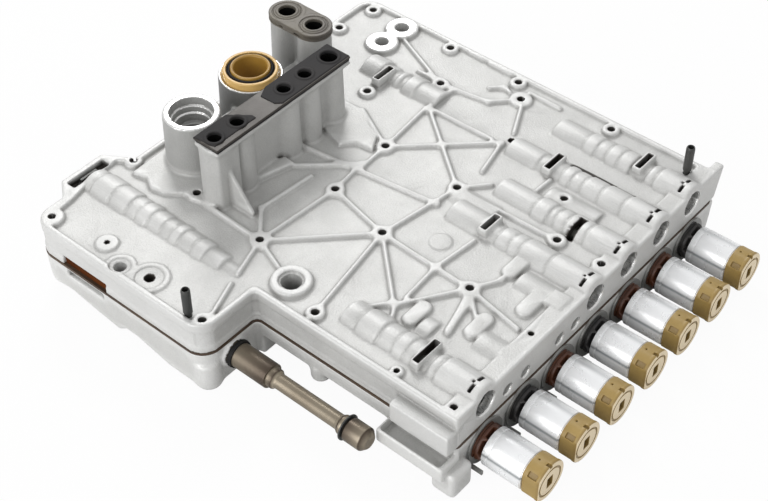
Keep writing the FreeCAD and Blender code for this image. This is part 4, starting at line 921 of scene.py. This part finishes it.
under = {
    "notchWall": -11.0, "setback": 12.0, "bossRadius": 5.2, "bossLow": -17.0, "manualBoss": 8.2,
    "tray": {"low": (-39, -12, -13), "high": (1, 2, -4), "wall": 1.5},
    "foot": {"low": (-8, -9, -25), "high": (6, 6, -9)},
    "rim": 5.0, "pocket": 7.0, "cells": 5, "screwHole": 2.55, "headSeat": 4.8, "headTop": -20.2,
    "solenoidBore": (8.0, -19), "manualBore": (7.2, -122, -215), "caseBolt": 5.4,
    "windowSill": ((-227, -40, -6.5), (-200, -28, -1.9)), "notchCut": (-124, -42), "draft": 0.03,
    "manualBossEnds": (-157, -125), "cornerBoss": 7.0, "boss": (-88, 4), "bossStart": -8,
    "low": (-262, -39, -26.5), "high": (8, 226, 0.7), "voxel": 0.72,
    "triangles": 110000,
    # the wing's front wall stops at this line, as (x, z)
    "wingEdge": [(-264, -40), (-264, -15), (-245, -17), (-241, -20), (-228, -18), (-206, -22),
                 (-192, -24), (-186, -19.5), (-178, -19.5), (-168, -22), (-154, -25.5),
                 (-133, -25.5), (-124, -24), (-121, -15), (-110, -11), (-110, -40)],
}
screwHubs = ["wingBack", "wingCorner", "bigHub", "frontHub", "middle", "rightHub", "rail",
             "backRight", "backRow", "leftSide"]


def undersideCells():
    left, right = -244 + under["rim"], -29
    front, back = under["rim"] * 3, 221 - under["rim"]
    wide, deep = (right - left) / under["cells"], (back - front) / under["cells"]
    gap = under["rim"] * 2
    for column in range(under["cells"]):
        for row in range(under["cells"]):
            x, y = left + wide * column, front + deep * row
            yield brick((x, y, -30), (x + wide - gap, y + deep - gap, cast["base"] + under["pocket"]), 1.5)


def lowerCuts():
    radius, end = under["solenoidBore"]
    cuts = [bar(y, cast["solenoidZ"], radius, 2, end, 0) for y in solenoidYs]
    cuts.append(bar(cast["manualY"], cast["manualZ"], *under["manualBore"], 0))
    cuts.append(brick(*under["windowSill"], 0.5))
    for name in screwHubs:
        cuts.append(pillar(hubs[name], under["screwHole"], -27, 2, 0))
        cuts.append(pillar(hubs[name], under["headSeat"], -30, under["headTop"], 0.3))
    cuts.append(pillar(caseHoles[0][0], under["caseBolt"], -27, 2, 0))
    return cuts


def lowerSkin():
    block = Block(under["low"], under["high"], under["voxel"])
    xs, ys, zs = block.axes
    plan = outlinePlan(xs[:, None], ys[None, :])[:, :, None]
    draft = under["draft"] * np.minimum(zs, 0)[None, None, :]
    block.values = extruded(plan - draft, zs[None, None, :], cast["base"], 6, 0.9)
    left, right = under["notchCut"]
    block.cut(brick((left, -6, -40), (right, under["setback"], under["notchWall"]), 1.5), 1.5)
    block.cut(acrossY(under["wingEdge"], -42, -29, 1.0), 2.0)
    for shape in undersideCells():
        block.cut(shape, 1.0)
    ends, start = under["manualBossEnds"], under["bossStart"]
    block.add(bar(cast["manualY"], cast["manualZ"], under["manualBoss"], *ends, 1.2), 2.0)
    block.add(pillar(hubs["wingCorner"], under["cornerBoss"], cast["base"], start, 1.5), 1.5)
    block.add(pillar(under["boss"], under["bossRadius"], under["bossLow"], start, 1.5), 1.5)
    tray, wall = under["tray"], under["tray"]["wall"]
    block.add(brick(tray["low"], tray["high"], 0.6), 0.8)
    foot = under["foot"]
    block.add(brick(foot["low"], foot["high"], 2.4), 1.6)
    block.add(acrossX(ear["lower"], -ear["reach"], 0, 0.8), 0.8)
    block.soften(1)
    hollow = [tray["low"][0] + wall, tray["low"][1] + wall, tray["low"][2] + 3]
    block.cut(brick(hollow, (tray["high"][0] - wall - 1, 0.4, 0), 1.5), 0.4)
    for shape in lowerCuts():
        block.cut(shape)
    block.values = np.maximum(block.values, zs[None, None, :] + cast["plate"])
    skin = block.surface("lower_casting_skin", under["triangles"])
    addValue(skin, "hollow", block.hollows(skin, 3))
    return skin


lower = lowerSkin()


# Solenoids

solenoid = {
    "noseEnd": -18.0, "noseRadius": 7.95, "clip": 1.25, "collarRadius": 11.8, "collarHidden": 9.8,
    "collarEnd": 6.0, "lugStart": 4.4, "canEnd": 28.7, "canRadius": 10.6, "capEnd": 38.5, "capRadius": 10.9,
    "capFlat": 9.0, "arc": (70, 186), "lugs": [(72, 83), (118, 126), (168, 182)],
    # painted reflections: darker stretches along the can: middle and width in degrees, share
    "bands": [(163, 4.0, 1.0), (78, 7.0, 0.35)], "bead": (8.6, 9.8), "beadDepth": 0.35,
    "pocketTurn": 135.5, "pocketPlace": 33.7, "pocketHalf": (2.4, 1.5), "pocketDepth": 1.1,
    "ventPlace": 31.7, "ventRadius": 0.55, "ventLow": 9.6, "ringRadius": 8.1, "ringHalf": 0.55,
    "ringDepth": 0.7, "notchLow": 9.7, "notchHalf": 0.9, "notchDepth": 2.6,
    "socket": (2.2, 3.6), "socketDepth": 5, "capReach": 12.2,
}
brownOnes, blackOnes = [0, 2, 4, 5], [1, 3, 6]


def between(angles, low, high, soft=2.0):
    # 1 inside a range of degrees and 0 outside it, with a short slope at both ends
    degrees = np.degrees(angles) % 360
    return np.clip((degrees - low) / soft + 0.5, 0, 1) * np.clip((high - degrees) / soft + 0.5, 0, 1)


def collarLumps(angles, along, radius):
    # the collar stands out only over its arc, and its front edge only at the lugs
    shown = between(angles, *solenoid["arc"])
    lug = sum(between(angles, *span) for span in solenoid["lugs"])
    collar = along > solenoid["clip"] - 0.2
    outer = collar & (radius > solenoid["noseRadius"] + 1)
    lowered = (solenoid["collarHidden"] - solenoid["collarRadius"]) * (1 - shown)
    radius = np.where(outer, radius + lowered, radius)
    front = collar & (along > solenoid["lugStart"])
    shift = (solenoid["lugStart"] - solenoid["collarEnd"]) * (1 - np.minimum(lug, 1))
    return np.where(front, along + shift, along), radius


def noses(name, indices):
    s = solenoid
    clip, collar = s["clip"], s["collarRadius"]
    corners = [(s["noseEnd"], 0, 0), (s["noseEnd"], s["noseRadius"], 0.8), (clip, s["noseRadius"], 0),
               (clip, collar, 0.5), (clip + 1.2, collar, 0), (clip + 1.2, collar - 0.5, 0),
               (clip + 1.9, collar - 0.5, 0), (clip + 1.9, collar, 0), (s["collarEnd"], collar, 0.7),
               (s["collarEnd"], 0, 0)]
    made = [turned("%s_%d" % (name, index), corners, (0, solenoidYs[index], cast["solenoidZ"]),
                   segments=120, lumps=collarLumps) for index in indices]
    return joinedPiece(name, made)


def can(index):
    s = solenoid
    end, radius, (first, last) = s["canEnd"], s["canRadius"], s["bead"]
    neck = radius - 0.1
    corners = [(s["collarEnd"], 0, 0), (s["collarEnd"], neck, 0.2), (first, neck, 0),
               (first + 0.3, neck - s["beadDepth"], 0), (last - 0.3, neck - s["beadDepth"], 0),
               (last, radius, 0.1), (end - 0.4, radius, 0.3), (end - 0.4, radius - 0.6, 0),
               (end, radius - 0.6, 0), (end, 0, 0)]
    centre = (0, solenoidYs[index], cast["solenoidZ"])
    piece = turned("solenoid_can_skin_%d" % (index + 1), corners, centre, segments=144)
    # the bands are painted reflections, set by the angle round the can
    across, up = drawn(piece).T[1] - centre[1], drawn(piece).T[2] - centre[2]
    angle = np.degrees(np.arctan2(up, across)) % 360
    band = sum(share * np.exp(-((angle - middle) / width) ** 2) for middle, width, share in s["bands"])
    addValue(piece, "band", np.clip(band, 0, 1))
    return piece


def capPoints():
    # one cap about its own axis, as points and faces that every solenoid repeats
    s = solenoid
    end, radius, reach = s["capEnd"], s["capRadius"], s["capReach"]
    block = Block((s["canEnd"] - 1, -reach, -reach), (end + 1.2, reach, reach), 0.27)
    block.add(bar(0, 0, radius, s["canEnd"], end, 0.7))
    block.add(bar(0, 0, radius + 0.25, end - 2.3, end, 0.6), 0.3)
    block.cut(brick((20, -20, -20), (50, -s["capFlat"], 20), 0), 0.5)
    # the key pocket and the small vent hole in the side
    turn = math.radians(s["pocketTurn"])
    out, side = (math.cos(turn), math.sin(turn)), (-math.sin(turn), math.cos(turn))

    def pocket(x, y, z):
        parts = [np.abs(x - s["pocketPlace"]) - s["pocketHalf"][0],
                 np.abs(y * side[0] + z * side[1]) - s["pocketHalf"][1],
                 -(y * out[0] + z * out[1]) + radius - s["pocketDepth"]]
        return np.maximum(np.maximum(parts[0], parts[1]), parts[2])

    def vent(x, y, z):
        return np.maximum(np.hypot(x - s["ventPlace"], y) - s["ventRadius"], s["ventLow"] - z)

    def ring(x, y, z):
        return np.maximum(np.abs(np.hypot(y, z) - s["ringRadius"]) - s["ringHalf"], end - s["ringDepth"] - x)
    block.cut((pocket, (31, -12, -2), (36.5, 2, 12)), 0.2)
    block.cut((vent, (31, -1, 9), (32.5, 1, 12)))
    # the front: a ring groove, a notch at its top and the socket's slot
    block.cut((ring, (end - 1, -10, -10), (end + 1, 10, 10)), 0.2)
    half, (halfY, halfZ) = s["notchHalf"], s["socket"]
    block.cut(brick((end - s["notchDepth"], -half, s["notchLow"]), (end + 2, half, 13), 0), 0.2)
    block.cut(brick((end - s["socketDepth"], -halfY, -halfZ), (end + 2, halfY, halfZ), 0.4), 0.3)
    thing = block.surface("cap", 9000)
    return thing, drawn(thing), facings(thing)


def caps():
    first, points, facing = capPoints()
    deep = np.clip((solenoid["capRadius"] - 0.35 - np.hypot(points[:, 1], points[:, 2])) / 0.5, 0, 1)
    front = points[:, 0] > solenoid["capEnd"] - 1.2
    grooved = front & (points[:, 0] < solenoid["capEnd"] - 0.35)
    roundSide = ~front & (points[:, 1] >= -solenoid["capFlat"] + 0.2)
    pieces = []
    for index, y in enumerate(solenoidYs):
        piece = first.copy()
        piece.data = first.data.copy()
        piece.name = "solenoid_cap_skin_%d" % (index + 1)
        bpy.context.scene.collection.objects.link(piece)
        placed = (points + np.array([0, y, cast["solenoidZ"]]) + drawingOrigin) * 0.001
        piece.data.vertices.foreach_set("co", placed.astype(np.float32).ravel())
        # painted light on the flat front, and painted shade in the pocket and the front grooves
        addValue(piece, "front", front * np.clip(facing[:, 0] * 2 - 0.6, 0, 1))
        addValue(piece, "deep", deep * roundSide + grooved)
        pieces.append(piece)
    bpy.data.objects.remove(first)
    return pieces


brownNoses = noses("solenoid_noses_brown_skin", brownOnes)
blackNoses = noses("solenoid_noses_black_skin", blackOnes)
cans = [can(index) for index in range(7)]
capPieces = caps()
print("solenoids made")


# Manual valve

manual = {
    "tip": -38.0, "endRadius": 6.3, "groove": -50.5, "stem": 4.1, "collar": (-53.0, -55.0, 5.3),
    "step": (-98.0, -101.0, 5.4), "land": 6.76, "waist": (-141.0, -165.0), "inner": -185.0,
    "snapRing": [(-52.4, 4.15, 0.1), (-52.4, 7.1, 0.3), (-51.5, 7.1, 0.3), (-51.5, 4.15, 0.1)],
    "seal": [(-124.8, 6.84, 0.2), (-124.8, 7.8, 0.3), (-123.6, 7.8, 0.3), (-122.4, 7.5, 0.2),
             (-122.4, 6.84, 0.2)],
    "centre": (0, cast["manualY"], cast["manualZ"]),
}


def manualValveSkin():
    m = manual
    tip, groove, stem, land, end = m["tip"], m["groove"], m["stem"], m["land"], m["endRadius"]
    (collarOut, collarIn, collar), (stepOut, stepIn, step) = m["collar"], m["step"]
    waistOut, waistIn = m["waist"]
    corners = [(tip, 0, 0), (tip, end - 2.4, 0.4), (tip - 2.6, end, 0.5), (groove, end, 0.4),
               (groove, stem, 0.3), (collarOut, stem, 0.3), (collarOut, collar, 0.3),
               (collarIn, collar, 0.5), (collarIn - 1.5, stem, 1.0), (stepOut + 1.5, stem, 1.0),
               (stepOut, step, 0.3), (stepIn, step, 0.3), (stepIn, land, 0.4), (waistOut, land, 0.4),
               (waistOut, stem, 0.4), (waistIn, stem, 0.4), (waistIn, land, 0.4),
               (m["inner"], land, 0.5), (m["inner"], 0, 0)]
    piece = turned("manual_valve_skin", corners, m["centre"], segments=96, degrees=28)
    points = drawn(piece)
    radius = np.hypot(points[:, 1] - cast["manualY"], points[:, 2] - cast["manualZ"])
    # painted shade in rings at the groove, the tip and the shoulders, and on the thin stem
    shadedRingsAt = (groove + 0.2, tip - 2.4, stepIn - 0.4, stepOut, collarIn)
    dark = sum(np.exp(-((points[:, 0] - at) / 0.7) ** 2) for at in shadedRingsAt)
    addValue(piece, "band", np.clip(dark + (radius < stem + 0.2) * 0.35, 0, 1))
    return piece


manualValve = manualValveSkin()
snapRing = turned("manual_valve_snap_ring_skin", manual["snapRing"], manual["centre"])
manualSeal = turned("manual_valve_seal_skin", manual["seal"], manual["centre"])


# Seal plates and sleeve

plate = {"steelLow": 58.4, "steelTop": 59.6, "padTop": 60.05, "lip": 1.3, "wall": 0.5}
frontPad = [(-196.5, 31.5), (-183.0, 33.6), (-183.0, 63.4), (-186, 63.4), (-192, 58.2), (-196.5, 55)]
backPad = [(-196.5, 84), (-193, 77), (-183.5, 77.5), (-180.4, 80.5), (-180.4, 132.5), (-196.5, 132.5)]


def sealBlock(low, high):
    half = seal["half"] + 1
    return Block((seal["x"] - half, seal["start"] - 1, low), (seal["x"] + half, seal["end"] + 1, high),
                 0.36)


def steelPlateSkin():
    half = seal["half"]
    block = sealBlock(57.4, 60.6)
    block.add(brick((seal["x"] - half, seal["start"], plate["steelLow"]),
                    (seal["x"] + half, seal["end"], plate["steelTop"]), 0.35))
    for y, radius in zip(seal["ports"], seal["radii"]):
        block.cut(pillar((seal["x"], y), radius, 50, 65, 0))
    return block.surface("long_seal_plate_skin", 26000)


def rubberPadSkin():
    half = seal["half"]
    block = sealBlock(56.2, 61.6)
    block.add(brick((seal["x"] - half + 0.5, seal["start"] + 0.5, seal["bottom"]),
                    (seal["x"] + half - 0.3, seal["end"] - 0.5, plate["steelLow"]), 0.4))
    for pad in (frontPad, backPad):
        block.add(slab(pad, plate["steelLow"], plate["padTop"], 0.25))
    for y, radius in zip(seal["ports"], seal["radii"]):
        place, lip = (seal["x"], y), radius + plate["lip"]
        block.add(pillar(place, lip, plate["steelLow"], plate["padTop"] + 0.5, 0.5), 0.3)
        block.cut(pillar(place, radius - plate["wall"], 50, 65, 0), 0.6)
    return block.surface("long_seal_rubber_skin", 40000)


def sideGroove(centre, radius, low):
    # a ring cut from the side of the short rubber
    def function(x, y, z):
        ring = np.abs(discPlan(x, y, centre, radius) - 0.3) - 1.0
        return extruded(ring, z, low + 1.0, low + 2.0, 0.1)
    reach = radius + 1
    return (function, (centre[0] - reach, centre[1] - reach, low),
            (centre[0] + reach, centre[1] + reach, low + 3))


def shortPlate(name, low, high, ridges, limit):
    middle, radius, half = shortSeal["y"], shortSeal["radius"], shortSeal["half"]
    ends, port = [(x, middle) for x in shortSeal["xs"]], shortSeal["port"]
    block = Block((ends[0][0] - radius - 1, middle - radius - 1, low - 1),
                  (ends[1][0] + radius + 1, middle + radius + 1, high + 1.6), 0.3)
    for end in ends:
        block.add(pillar(end, radius, low, high, 0.4))
    block.add(brick((ends[0][0], middle - half, low), (ends[1][0], middle + half, high), 0.4), 0.5)
    for end in ends:
        if ridges:
            block.cut(pillar(end, port + 3.0, high - 0.35, high + 2, 0.0), 0.1)
            block.add(pillar(end, port + 2.4, high - 1, high + 0.1, 0.3), 0.1)
            block.add(pillar(end, port + 1.2, high - 1, high + 0.5, 0.5), 0.3)
        else:
            block.cut(sideGroove(end, radius, low), 0.2)
    for end in ends:
        block.cut(pillar(end, port - plate["wall"] if ridges else port, 40, 65, 0), 0.6 if ridges else 0)
    return block.surface(name, limit)


def portShadeLiner(name, centre, radius, high):
    # a glossy black tube that runs down into a port, standing in for the shade inside it
    outer, inner = radius - 0.05, radius - plate["wall"] - 0.05
    corners = [(high - 14, inner, 0), (high - 14, outer, 0), (high - 1.5, outer, 0), (high - 1.5, inner, 0)]
    return turned(name, corners, (*centre, 0), "z", 48)


def sleevePart(name, corners):
    # corners hold heights from the sleeve's top, or None for its lower end
    height = posts["rear"]["top"] + 4.2
    placed = [(posts["rear"]["top"] - 12 if drop is None else height - drop, radius, rounding)
              for drop, radius, rounding in corners]
    return turned(name, placed, (*posts["rear"]["centre"], 0), "z", 120)


sleeve = {
    "ring": [(None, 13.25, 0), (None, 15.15, 0.3), (1.2, 15.15, 0.8), (1.2, 13.25, 0.4)],
    "seal": [(None, 11.0, 0), (None, 13.2, 0), (1.9, 13.2, 0.4), (1.9, 12.7, 0.2), (3.0, 12.4, 0.3),
             (1.1, 12.0, 0.3), (1.1, 11.5, 0.2), (2.6, 11.3, 0.2), (2.6, 11.0, 0.1)],
    "tube": [(None, 9.05, 0), (None, 10.95, 0), (0.4, 10.95, 0.5), (0, 10.3, 0.4), (0.6, 9.05, 0.5)],
}
longSteel = steelPlateSkin()
longRubber = rubberPadSkin()
shortSteel = shortPlate("short_seal_plate_skin", 58.4, 60.0, True, 22000)
shortRubber = shortPlate("short_seal_rubber_skin", 55.8, 58.4, False, 12000)
# glossy black tubes in the ports stand in for the shade inside them
shadeLiners = [portShadeLiner("port_shade_liner_%d" % (index + 1), (seal["x"], y), seal["radii"][index], 60)
          for index, y in enumerate(seal["ports"])]
shadeLiners += [portShadeLiner("port_shade_liner_%d" % (index + 6), (x, shortSeal["y"]), shortSeal["port"], 60)
           for index, x in enumerate(shortSeal["xs"])]
sleeveRing, sleeveRubber, sleeveTube = [sleevePart("sleeve_%s_skin" % part, corners)
                                        for part, corners in sleeve.items()]
print("seals made")


# Roll pins

pin = {"low": 10.3, "neck": 20.9, "high": 36.4, "radius": 2.4, "inner": 1.6, "slot": (205, 218, 3.0),
       "slotDepth": 0.55}


def splitPin(angles, along, radius):
    # the slot down one side of the rolled sheet
    slot = between(angles, *pin["slot"]) * (radius > 1.9) * (along > pin["neck"] + 0.1)
    return along, radius - pin["slotDepth"] * slot


def rollPin(centre):
    low, neck, high, radius = pin["low"], pin["neck"], pin["high"], pin["radius"]
    corners = [(low, 0, 0), (low, 1.8, 0), (neck, 1.8, 0), (neck, radius, 0), (high - 1.2, radius, 0.3),
               (high, 2.05, 0.3), (high, 1.65, 0.15), (neck, pin["inner"], 0), (neck, 0, 0)]
    return turned("pin", corners, (*centre, 0), "z", lumps=splitPin)


pins = joinedPiece("roll_pins_skin", [rollPin(centre) for centre in pinHoles])


# Window insert

windowFill = {"low": (-228.7, -35.3, 0.9), "high": (-197.3, -23.2, 6.2)}


def insertSkin():
    # the brown insert fills its window almost to the mouth
    low, high = np.array(windowFill["low"]), np.array(windowFill["high"])
    corners = np.array([(x, y, z) for x in (0, 1) for y in (0, 1) for z in (0, 1)])
    faces = [(0, 1, 3, 2), (4, 6, 7, 5), (0, 4, 5, 1), (2, 3, 7, 6), (0, 2, 6, 4), (1, 5, 7, 3)]
    return meshObject("window_insert_skin", low + corners * (high - low), faces, smooth=False)


windowInsert = insertSkin()


# Finishes

def bandMaterial(name, look):
    # a stored value picks out darker stretches round a turned piece: painted reflections on the cans and
    # painted shade on the manual valve
    material, tree, shader, grain, color = newMaterial(name, look)
    darker = mixColor(tree, storedValue(tree, "band"), color, look["bandColor"])
    tree.links.new(darker, shader.inputs["Base Color"])
    return material


def capMaterial(name, look):
    # painted light makes the front paler, and painted shade lies in the pocket and the grooves
    material, tree, shader, grain, color = newMaterial(name, look)
    faced = mixColor(tree, storedValue(tree, "front"), color, look["faceColor"])
    dirt = product(tree, storedValue(tree, "deep"), look["deepShare"])
    tree.links.new(mixColor(tree, dirt, faced, look["deepColor"]), shader.inputs["Base Color"])
    return material


def plugMaterial(name, look):
    # only the end that faces outwards is bare: the rest of a plug is painted dark, as painted shade inside
    # its bore
    material, tree, shader, grain, color = newMaterial(name, look)
    along, place = coordinates(tree, "Normal")["X"], coordinates(tree, "Object")["X"]
    ends = ramp(tree, product(tree, along, place), *look["endRange"])
    tree.links.new(mixColor(tree, ends, look["sideColor"], color), shader.inputs["Base Color"])
    return material


# the darker bands on the cans are painted reflections
zinc = bandMaterial("zincCan", {
    "color": (0.96, 0.97, 0.98), "patchColor": (0.93, 0.94, 0.95), "metallic": 0.3, "roughness": 0.24,
    "patchRough": 0.08, "grainScale": 500.0, "grainDepth": 0.000003, "bandColor": (0.30, 0.32, 0.33),
})
# the pale front is painted light, the darker pocket and grooves painted shade
tanPlastic = capMaterial("tanPlastic", {
    "color": (0.38, 0.26, 0.085), "patchColor": (0.33, 0.22, 0.065), "roughness": 0.42,
    "grainScale": 700.0, "grainDepth": 0.00006, "faceColor": (0.95, 0.80, 0.56),
    "deepColor": (0.22, 0.14, 0.04), "deepShare": 0.55,
})
# the darker bands on the manual valve are painted shade
bronzeBar = bandMaterial("bronzeBar", {
    "color": (0.38, 0.33, 0.25), "patchColor": (0.32, 0.27, 0.20), "metallic": 0.6, "roughness": 0.33,
    "grainScale": 900.0, "grainDepth": 0.000012, "bandColor": (0.075, 0.055, 0.04),
})
plugAluminium = plugMaterial("plugAluminium", {
    "color": (0.42, 0.42, 0.41), "patchColor": (0.34, 0.34, 0.33), "metallic": 0.6, "roughness": 0.3,
    "endRange": (0.05, 0.09), "sideColor": (0.03, 0.028, 0.025),
})
plainLooks = {
    "brownPlastic": {"color": (0.085, 0.027, 0.010), "patchColor": (0.05, 0.016, 0.007),
                     "roughness": 0.35, "grainDepth": 0.00006},
    "blackPlastic": {"color": (0.016, 0.015, 0.015), "patchColor": (0.028, 0.026, 0.025),
                     "roughness": 0.38, "grainDepth": 0.00006},
    "darkSteel": {"color": (0.060, 0.062, 0.060), "patchColor": (0.10, 0.10, 0.095),
                  "metallic": 0.6, "roughness": 0.4, "grainDepth": 0.00005},
    "plateSteel": {"color": (0.060, 0.036, 0.022), "patchColor": (0.10, 0.065, 0.04),
                   "metallic": 0.3, "roughness": 0.5},
    "sealSteel": {"color": (0.045, 0.038, 0.031), "patchColor": (0.035, 0.029, 0.024),
                  "metallic": 0.2, "roughness": 0.42, "grainScale": 800.0, "grainDepth": 0.00008},
    "greySeal": {"color": (0.092, 0.082, 0.070), "patchColor": (0.125, 0.112, 0.088),
                 "metallic": 0.2, "roughness": 0.45, "grainScale": 800.0, "grainDepth": 0.00012},
    "blackRubber": {"color": (0.030, 0.029, 0.030), "patchColor": (0.042, 0.040, 0.040),
                    "roughness": 0.6, "specular": 0.12, "grainScale": 900.0, "grainDepth": 0.0001},
    # glossy black for the tubes that stand in for the shade inside the ports
    "portShadeBlack": {"color": (0.008, 0.008, 0.008), "roughness": 0.18, "grainDepth": 0.00001},
    "goldRing": {"color": (0.68, 0.44, 0.15), "patchColor": (0.60, 0.38, 0.12), "roughness": 0.33,
                 "grainDepth": 0.00003},
    "goldTube": {"color": (0.40, 0.235, 0.045), "patchColor": (0.34, 0.19, 0.035),
                 "roughness": 0.34, "grainDepth": 0.00003},
    "spoolAluminium": {"color": (0.36, 0.36, 0.33), "patchColor": (0.30, 0.30, 0.28),
                       "metallic": 0.7, "roughness": 0.35},
    "brightSteel": {"color": (0.45, 0.45, 0.45), "patchColor": (0.38, 0.38, 0.38),
                    "metallic": 0.8, "roughness": 0.3},
    "clipSteel": {"color": (0.34, 0.34, 0.33), "patchColor": (0.26, 0.26, 0.25),
                  "metallic": 0.4, "roughness": 0.4},
    "brownInsert": {"color": (0.10, 0.030, 0.009), "patchColor": (0.07, 0.021, 0.007),
                    "roughness": 0.7, "specular": 0.02},
    "sealBlack": {"color": (0.008, 0.008, 0.008), "patchColor": (0.014, 0.013, 0.012),
                  "roughness": 0.6, "specular": 0.2},
}
plain = {name: newMaterial(name, look)[0] for name, look in plainLooks.items()}

for thing, material, slotName in (
        (upper, castAluminium, "cast_upper"), (lower, litLowerAluminium, "cast_lower"),
        (brownNoses, plain["brownPlastic"], "brown_plastic"),
        (blackNoses, plain["blackPlastic"], "black_plastic"),
        *((piece, zinc, "zinc_can") for piece in cans),
        *((piece, tanPlastic, "tan_plastic") for piece in capPieces),
        (manualSeal, plain["sealBlack"], "black_plastic"), (longSteel, plain["sealSteel"], "seal_steel"),
        (longRubber, plain["blackRubber"], "seal_rubber"), (shortSteel, plain["greySeal"], "seal_steel"),
        (shortRubber, plain["greySeal"], "seal_rubber"),
        *((piece, plain["portShadeBlack"], "seal_rubber") for piece in shadeLiners),
        (sleeveRing, plain["goldRing"], "gold_ring"), (sleeveRubber, plain["blackRubber"], "seal_rubber"),
        (sleeveTube, plain["goldTube"], "gold_ring"), (windowInsert, plain["brownInsert"], "brown_insert"),
        (pins, plain["darkSteel"], "dark_steel")):
    dress(thing, material, slotName)
dress(manualValve, bronzeBar, "bronze_bar", "manual_valve")
dress(snapRing, plain["darkSteel"], "dark_steel", "manual_valve")

# CAD nodes whose shape stays, with their finishes
kept = {
    "separator_plate": plain["plateSteel"], "solenoid_clips": plain["clipSteel"],
    "end_plugs": plugAluminium, "small_plugs": plugAluminium,
    "retainer_plates": plain["darkSteel"], "casting_screws": plain["darkSteel"],
}
for row in ("first", "fourth", "fifth", "sixth", "seventh", "wing"):
    kept[row + "_spool_valve"] = plain["spoolAluminium"]
    kept[row + "_valve_spring"] = plain["brightSteel"]
for name, material in kept.items():
    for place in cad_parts[name].material_slots:
        place.material = material
print("finishes set")


# Camera, lights and floor

shot = {
    "azimuth": 40.4516, "elevation": 44.9227, "roll": -0.1496,
    "place": (0.38439, -0.44725, 0.59262), "lens": 72.36, "sensor": 36.0,
}


def setCamera():
    azimuth, elevation, roll = [math.radians(shot[k]) for k in ("azimuth", "elevation", "roll")]
    back = Vector((math.sin(azimuth) * math.cos(elevation), -math.cos(azimuth) * math.cos(elevation),
                   math.sin(elevation)))
    right = (-back).cross(Vector((0, 0, 1))).normalized()
    up = right.cross(-back)
    turnedRight = right * math.cos(roll) + up * math.sin(roll)
    turnedUp = up * math.cos(roll) - right * math.sin(roll)
    data = bpy.data.cameras.new("photoCamera")
    data.lens, data.sensor_width = shot["lens"], shot["sensor"]
    data.clip_end = 20
    camera = bpy.data.objects.new("photoCamera", data)
    bpy.context.scene.collection.objects.link(camera)
    turn = Matrix((turnedRight, turnedUp, back)).transposed().to_4x4()
    camera.matrix_world = Matrix.Translation(shot["place"]) @ turn
    bpy.context.scene.camera = camera


setCamera()

studio = {
    "floorColor": (0.80, 0.80, 0.80), "floorSize": 6.0, "floorGlow": 0.95,
    "skyLow": 0.46, "skyHigh": 0.66, "skyFrom": (-0.35, 0.6, 0.72), "mirroredSky": 0.75,
    "lamps": {"key": ((-0.9, 0.75, 1.1), 0.6, 11.0), "fill": ((-0.1, -1.45, 0.6), 1.2, 13.5)},
}


def setStudio():
    scene = bpy.context.scene
    scene.view_settings.view_transform = "Standard"
    world = bpy.data.worlds.new("studio")
    scene.world = world
    world.use_nodes = True
    tree = world.node_tree
    background = tree.nodes["Background"]
    # the sky is brighter behind and above the part than on the camera's side
    ray = addNode(tree, "TexCoord").outputs["Generated"]
    brightWay = Vector(studio["skyFrom"]).normalized()
    towards = addNode(tree, "VectorMath", {0: ray, 1: brightWay}, operation="DOT_PRODUCT")
    glow = ramp(tree, towards.outputs["Value"], -0.9, 0.9, studio["skyLow"], studio["skyHigh"])
    path = addNode(tree, "LightPath")
    mirrored = product(tree, path.outputs["Is Glossy Ray"], studio["mirroredSky"])
    strength = mathValue(tree, "MAXIMUM", glow, mirrored)
    strength = mathValue(tree, "MAXIMUM", strength, path.outputs["Is Camera Ray"])
    tree.links.new(strength, background.inputs["Strength"])
    background.inputs["Color"].default_value = (1, 1, 1, 1)
    for name, (place, size, power) in studio["lamps"].items():
        data = bpy.data.lights.new(name, "AREA")
        data.size, data.energy = size, power
        lamp = bpy.data.objects.new(name, data)
        lamp.location = place
        lamp.rotation_euler = Vector(place).to_track_quat("Z", "Y").to_euler()
        scene.collection.objects.link(lamp)
    half, height = studio["floorSize"] / 2, cadBox[0][2] - 0.0002
    mesh = bpy.data.meshes.new("floor")
    mesh.from_pydata([(-half, -half, height), (half, -half, height), (half, half, height),
                      (-half, half, height)], [], [(0, 1, 2, 3)])
    floor = bpy.data.objects.new("floor", mesh)
    scene.collection.objects.link(floor)
    material = bpy.data.materials.new("paleFloor")
    material.use_nodes = True
    tree = material.node_tree
    shader = tree.nodes["Principled BSDF"]
    shader.inputs["Base Color"].default_value = (*studio["floorColor"], 1)
    shader.inputs["Roughness"].default_value = 0.9
    glowing = addNode(tree, "Emission", {"Color": (1, 1, 1, 1), "Strength": 1.0})
    seen = addNode(tree, "LightPath").outputs["Is Camera Ray"]
    mixed = addNode(tree, "MixShader", {0: product(tree, seen, studio["floorGlow"]),
                                        1: shader.outputs[0], 2: glowing.outputs[0]})
    tree.links.new(mixed.outputs[0], tree.nodes["Material Output"].inputs["Surface"])
    mesh.materials.append(material)


setStudio()
